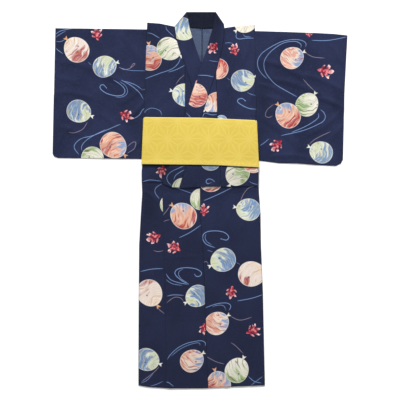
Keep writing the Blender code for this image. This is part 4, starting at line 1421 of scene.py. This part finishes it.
def draw_fish(cloth, under):
    """Paint the goldfish from above: a spindle body, two fins, and a tail of
    three or more pointed rays, r = a + b |cos 4t| about its root."""
    u, v, key = cloth.split(cloth.written("goldfish"))
    wobble = cloth.noise(cloth.join(u, v, key), 3.0, 1.0)
    head = (u - 0.34) / 0.46
    flank = v / 0.21
    body = (head * head + flank * flank + 0.5 * (wobble - 0.5)).fade(1.05, 0.85)
    back = u - 0.02
    reach = (back * back + v * v) ** 0.5
    angle = v.math("ARCTAN2", back * -1)
    fan = abs(angle).fade(1.75, 0.55)
    rays = abs((angle * 3.3 + (wobble - 0.5) * 2.6).math("COSINE")) ** 0.9
    length = 0.20 + 0.80 * rays * (0.35 + 0.65 * fan) + 0.9 * (wobble - 0.5)
    tail = (reach - length).fade(0.04, -0.04) * u.fade(0.10, 0.0)
    fin_u = u - 0.22
    fin_v = abs(v) - 0.44
    long = (fin_v * 0.83 - fin_u * 0.56) / 0.30
    short = (fin_u * 0.83 + fin_v * 0.56) / 0.11
    fins = (long * long + short * short).fade(1.1, 0.75)
    shape = body.math("MAXIMUM", tail).math("MAXIMUM", fins)
    fleck = cloth.noise(cloth.join(u, v, key + 5), 3.2, 2.0)
    colour = cloth.mix(fleck.fade(0.49, 0.60), FISH_RED, FISH_PINK)
    colour = cloth.mix(fleck.fade(0.44, 0.36), colour, FISH_DARK)
    tips = reach.fade(0.44, 0.95) * u.fade(0.14, 0.04) + abs(v).fade(0.40, 0.70) * 0.7
    colour = cloth.mix(tips * (0.25 + fleck * 0.9), colour, FISH_PALE)
    return cloth.mix(shape, under, colour)


def draw_shade(cloth, layer, under):
    """Paint the deep blue that lies along one side of each line of water."""
    distance, half, _ = cloth.split(cloth.written(layer))
    band = distance.fade(5.5, 0.5) * distance.fade(-0.5, 0.5) * half.fade(0.0, 0.6)
    return cloth.mix(band * 0.4, under, WATER_SHADE)


def draw_stroke(cloth, layer, under, colour):
    """Paint thin lines: a band where |distance| is under the half width."""
    distance, half, _ = cloth.split(cloth.written(layer))
    off = abs(distance) - half
    return cloth.mix(off.fade(0.45, -0.55), under, colour)


def printed_cotton():
    """Navy cotton with the print of water balloons, goldfish and water, and painted shade."""
    cloth, place, slub = cotton("printed_cotton", 0.88, 0.08, 0.14)
    slow = cloth.noise(place, 7.0, 2.0)
    colour = cloth.mix(slow.fade(0.35, 0.65), NAVY_DEEP, NAVY)
    colour = cloth.mix(slub.fade(0.45, 0.75) * 0.35, colour, NAVY_PALE)
    # Painted shade: the navy darkens from below the belt downwards, where less light falls.
    _, y, _ = cloth.split(place)
    colour = cloth.mix(y.fade(0.10, -0.16) * 0.5, colour, NAVY_PAINTED_SHADE)
    colour = draw_shade(cloth, "water", colour)
    colour = draw_shade(cloth, "water_beside", colour)
    colour = draw_stroke(cloth, "water", colour, WATER_BLUE)
    colour = draw_stroke(cloth, "water_beside", colour, WATER_BLUE)
    colour = draw_stroke(cloth, "cord", colour, CORD_GREY)
    colour = draw_fish(cloth, colour)
    colour = draw_balloon(cloth, "balloon", colour)
    colour = draw_balloon(cloth, "balloon_over", colour)
    # Painted shade along seams and edges, and a painted shadow under the belt's lower edge.
    near, far, belt_edge_distance = cloth.split(cloth.written("seam"))
    seam = near.math("MINIMUM", far)
    colour = cloth.mix(seam.fade(2.2, 0.2) * 0.65, colour, SEAM_SHADE)
    colour = cloth.mix(belt_edge_distance.fade(7.0, 3.0) * 0.75, colour, SEAM_SHADE)
    shade, _, _ = cloth.split(cloth.written("shade"))
    colour = cloth.mix(shade, colour, NO_LIGHT)
    return finish_cotton(cloth, place, slub, colour)


def cotton_inside():
    """The wrong side of the same cotton: paler, with the print not through."""
    cloth, place, slub = cotton("cotton_inside", 0.9, 0.08, 0.14)
    slow = cloth.noise(place, 12.0, 2.0)
    colour = cloth.mix(slow.fade(0.3, 0.7), INSIDE_BLUE, INSIDE_PALE)
    colour = cloth.mix(slub.fade(0.4, 0.7) * 0.4, colour, INSIDE_THREAD)
    u, v, _ = cloth.split(cloth.written("balloon"))
    colour = cloth.mix((u * u + v * v).fade(1.0, 0.9) * 0.07, colour, INSIDE_TRACE)
    x, _, _ = cloth.split(place)
    allowance = abs(x - (CENTRE_SEAM - MIDDLE[0]) * MM)
    colour = cloth.mix(allowance.fade(3.6 * MM, 2.2 * MM) * 0.85, colour, NAVY)
    return finish_cotton(cloth, place, slub, colour)


def plain_cotton():
    """Plain navy cotton of the collar's inside, its colour made darker with painted shade."""
    cloth, place, slub = cotton("plain_cotton", 0.88, 0.06, 0.12)
    colour = cloth.mix(slub.fade(0.4, 0.7), COLLAR_NAVY_SHADED, COLLAR_THREAD_SHADED)
    return finish_cotton(cloth, place, slub, colour)


RIB = 1.5 * MM            # spacing of the belt's woven ribs
BELT_BUMP = 0.22 * MM     # height of its surface
STAR = 77.5 * MM          # spacing of the hemp-leaf stars on it
STAR_X = -46.0 * MM       # where one of them lies
STAR_Y = 231.0 * MM
BELT_YELLOW = srgb(203, 178, 69)
BELT_LIGHT = srgb(220, 199, 104)
BELT_EDGE_HIGHLIGHT = srgb(212, 196, 118)
BELT_SHADE = srgb(187, 156, 49)


def belt_weave():
    """Yellow belt cloth with a woven hemp-leaf pattern, tone on tone, and a painted highlight along
    its edges.

    Stars stand on a lattice of triangles. From each one twelve threads run
    out, every 30 degrees, and end where they meet the neighbours' threads:
    a place lies r |sin 6t| / 6 from the nearest one.
    """
    cloth = Cloth("belt_weave", Roughness=0.62, Sheen_Weight=0.15, Sheen_Roughness=0.4,
                  Specular_IOR_Level=0.35)
    place = cloth.place()
    x, y, _ = cloth.split(place)
    tall = STAR * 3 ** 0.5
    lattices = []
    for shift in (0.5, 1.0):
        across = ((x - STAR_X) / STAR + shift).math("FRACT") - 0.5
        down = ((y - STAR_Y) / tall + shift).math("FRACT") - 0.5
        lattices.append((across * STAR, down * tall))
    sizes = [(a * a + b * b) ** 0.5 for a, b in lattices]
    nearer = (sizes[1] - sizes[0]).fade(-0.0001, 0.0001)
    a = lattices[0][0] * nearer + lattices[1][0] * (1 - nearer)
    b = lattices[0][1] * nearer + lattices[1][1] * (1 - nearer)
    reach = (a * a + b * b) ** 0.5
    angle = b.math("ARCTAN2", a)
    off = abs((angle * 6).math("SINE")) * reach / 6
    thread = off.fade(0.0030, 0.0006)
    glow = reach.fade(0.016, 0.002)
    between = abs((angle * 6).math("SINE")).fade(0.75, 1.0) * reach.fade(0.008, 0.02)
    fine = cloth.noise(place, 420.0, 2.0)
    slow = cloth.noise(place, 9.0, 2.0)
    top, bottom, _ = cloth.split(cloth.written("seam"))
    edge = top.math("MINIMUM", bottom)
    colour = cloth.mix(slow.fade(0.35, 0.7) * 0.22, BELT_YELLOW, BELT_SHADE)
    colour = cloth.mix(between * 0.10, colour, BELT_SHADE)
    colour = cloth.mix(glow.math("MAXIMUM", thread) * 0.23, colour, BELT_LIGHT)
    colour = cloth.mix(fine.fade(0.4, 0.7) * 0.18, colour, BELT_LIGHT)
    colour = cloth.mix(abs(edge - 6.5).fade(1.4, 0.5) * 0.30, colour, BELT_SHADE)
    # Painted highlight along the belt's upper and lower edges.
    colour = cloth.mix(edge.fade(5.0, 2.0) * 0.75, colour, BELT_EDGE_HIGHLIGHT)
    ribs = (y * (2 * math.pi / RIB)).math("SINE")
    height = thread * 0.6 + fine * 0.4 + ribs * 0.35
    return cloth.finish(colour, height, BELT_BUMP)


def dress():
    """Make every piece, replacing its solid in the frame."""
    printed = printed_cotton()
    inside = cotton_inside()
    plain = plain_cotton()
    both = [printed, inside]
    right = dict(levels=RIGHT_LEVELS, line="tuck_right", inmost=TUCK_RIGHT,
                 drop_to=SECOND_LAYER, fold_y=TUCK_FOLD_RIGHT, finishes=both)
    left = dict(levels=LEFT_LEVELS, line="tuck_left", inmost=TUCK_LEFT,
                drop_to=THIRD_LAYER, fold_y=TUCK_FOLD_LEFT, finishes=both)
    body_panel("body_right", SIDE_RIGHT, BACK_SIDE_RIGHT, CENTRE_SEAM - SEAM / 2,
               RIGHT_OKUMI_SEAM, RIGHT_COLLAR_SEAM, RIGHT_SKIRT_SEAM, RIGHT_STEP_IN,
               rests_on=["floor", "sleeve_right_cloth", "belt_cloth"], droop=SEAM_DIP, **right)
    body_panel("body_left", SIDE_LEFT, BACK_SIDE_LEFT, CENTRE_SEAM + SEAM / 2,
               LEFT_OKUMI_SEAM, LEFT_COLLAR_SEAM, LEFT_SKIRT_SEAM, LEFT_STEP_IN,
               rests_on=["floor", "sleeve_left_cloth", "body_right_cloth"], droop=SIDE_DROOP, **left)
    okumi("okumi_right", RIGHT_COLLAR_SEAM, RIGHT_SKIRT_EDGE, RIGHT_OKUMI_SEAM,
          RIGHT_SKIRT_SEAM, toward_side=-1, rests_on=["body_left_cloth"], **right)
    okumi("okumi_left", LEFT_COLLAR_SEAM, LEFT_SKIRT_EDGE, LEFT_OKUMI_SEAM,
          LEFT_SKIRT_SEAM, toward_side=1, rests_on=["body_right_cloth"], **left)
    collar_band("collar_right", RIGHT_COLLAR_EDGE, RIGHT_COLLAR_SEAM, RIGHT_LEVELS,
                "tuck_right", TUCK_RIGHT + 2 * PITCH, both)
    collar_band("collar_left", LEFT_COLLAR_EDGE, LEFT_COLLAR_SEAM, LEFT_LEVELS,
                "tuck_left", TUCK_LEFT + 2 * PITCH, both)
    collar_stand([plain])
    sleeve("sleeve_right", SLEEVE_RIGHT, both)
    sleeve("sleeve_left", SLEEVE_LEFT, both)
    belt([belt_weave()])


# The stage, in metres: floor and backdrop, then the lights
FLOOR_SIZE = 60
FLOOR_DROP = 0.0004       # how far it lies under the cloth
FLOOR_PALE = (0.97, 0.97, 0.97, 1)
BACKDROP_RADIUS = 28
BACKDROP_HEIGHT = 9
BACKDROP_MIDDLE = 4
ROOM_LIGHT = 0.45         # light from all round
KEY_LIGHT = 2.65
KEY_WIDTH = 9             # degrees across, for soft shadows
KEY_TURN = (-52, -14, 0)  # degrees
PANEL_SIZE = 1.4
PANEL_POWER = 15
PANEL_PLACE = (0.1, 1.25, 1.5)
PANEL_TURN = -32          # degrees


def stage():
    """A plain pale floor, soft light from all round and a soft key light."""
    bpy.ops.mesh.primitive_plane_add(size=FLOOR_SIZE, location=(0, 0, -FLOOR_DROP))
    floor = bpy.context.object
    floor.name = "floor"
    pale = Cloth("pale_floor", Roughness=0.9, Specular_IOR_Level=0.1)
    pale.shader.inputs["Base Color"].default_value = FLOOR_PALE
    floor.data.materials.append(pale.material)
    bpy.ops.mesh.primitive_cylinder_add(vertices=96, radius=BACKDROP_RADIUS,
                                        depth=BACKDROP_HEIGHT, end_fill_type="NOTHING",
                                        location=(0, 0, BACKDROP_MIDDLE))
    backdrop = bpy.context.object
    backdrop.name = "backdrop"
    backdrop.visible_shadow = False
    backdrop.data.materials.append(pale.material)
    world = bpy.data.worlds.new("soft_room")
    world.use_nodes = True
    sky = world.node_tree.nodes["Background"]
    sky.inputs["Color"].default_value = (1, 1, 1, 1)
    sky.inputs["Strength"].default_value = ROOM_LIGHT
    bpy.context.scene.world = world
    sun = bpy.data.lights.new("key", "SUN")
    sun.energy = KEY_LIGHT
    sun.angle = math.radians(KEY_WIDTH)
    lamp = bpy.data.objects.new("key", sun)
    lamp.rotation_euler = [math.radians(angle) for angle in KEY_TURN]
    bpy.context.scene.collection.objects.link(lamp)
    panel = bpy.data.lights.new("soft panel", "AREA")
    panel.size = PANEL_SIZE
    panel.energy = PANEL_POWER
    holder = bpy.data.objects.new("soft panel", panel)
    holder.location = PANEL_PLACE
    holder.rotation_euler = (math.radians(PANEL_TURN), 0, 0)
    bpy.context.scene.collection.objects.link(holder)


# The camera, in metres, but its sensor in millimetres
CAMERA_HEIGHT = 3.6
FRAME_WIDTH = 1.52        # how much floor is across the picture
CAMERA_REACH = 100
SENSOR = 36.0


def camera():
    """Straight down on the robe, with the collar at the top of the picture."""
    eye = bpy.data.cameras.new("camera")
    eye.sensor_width = SENSOR
    eye.lens = SENSOR * CAMERA_HEIGHT / FRAME_WIDTH
    eye.clip_end = CAMERA_REACH
    holder = bpy.data.objects.new("camera", eye)
    holder.location = (-MIDDLE[0] * MM, -MIDDLE[1] * MM, CAMERA_HEIGHT)
    bpy.context.scene.collection.objects.link(holder)
    bpy.context.scene.camera = holder
    bpy.context.scene.view_settings.view_transform = "Standard"


camera()
stage()
dress()
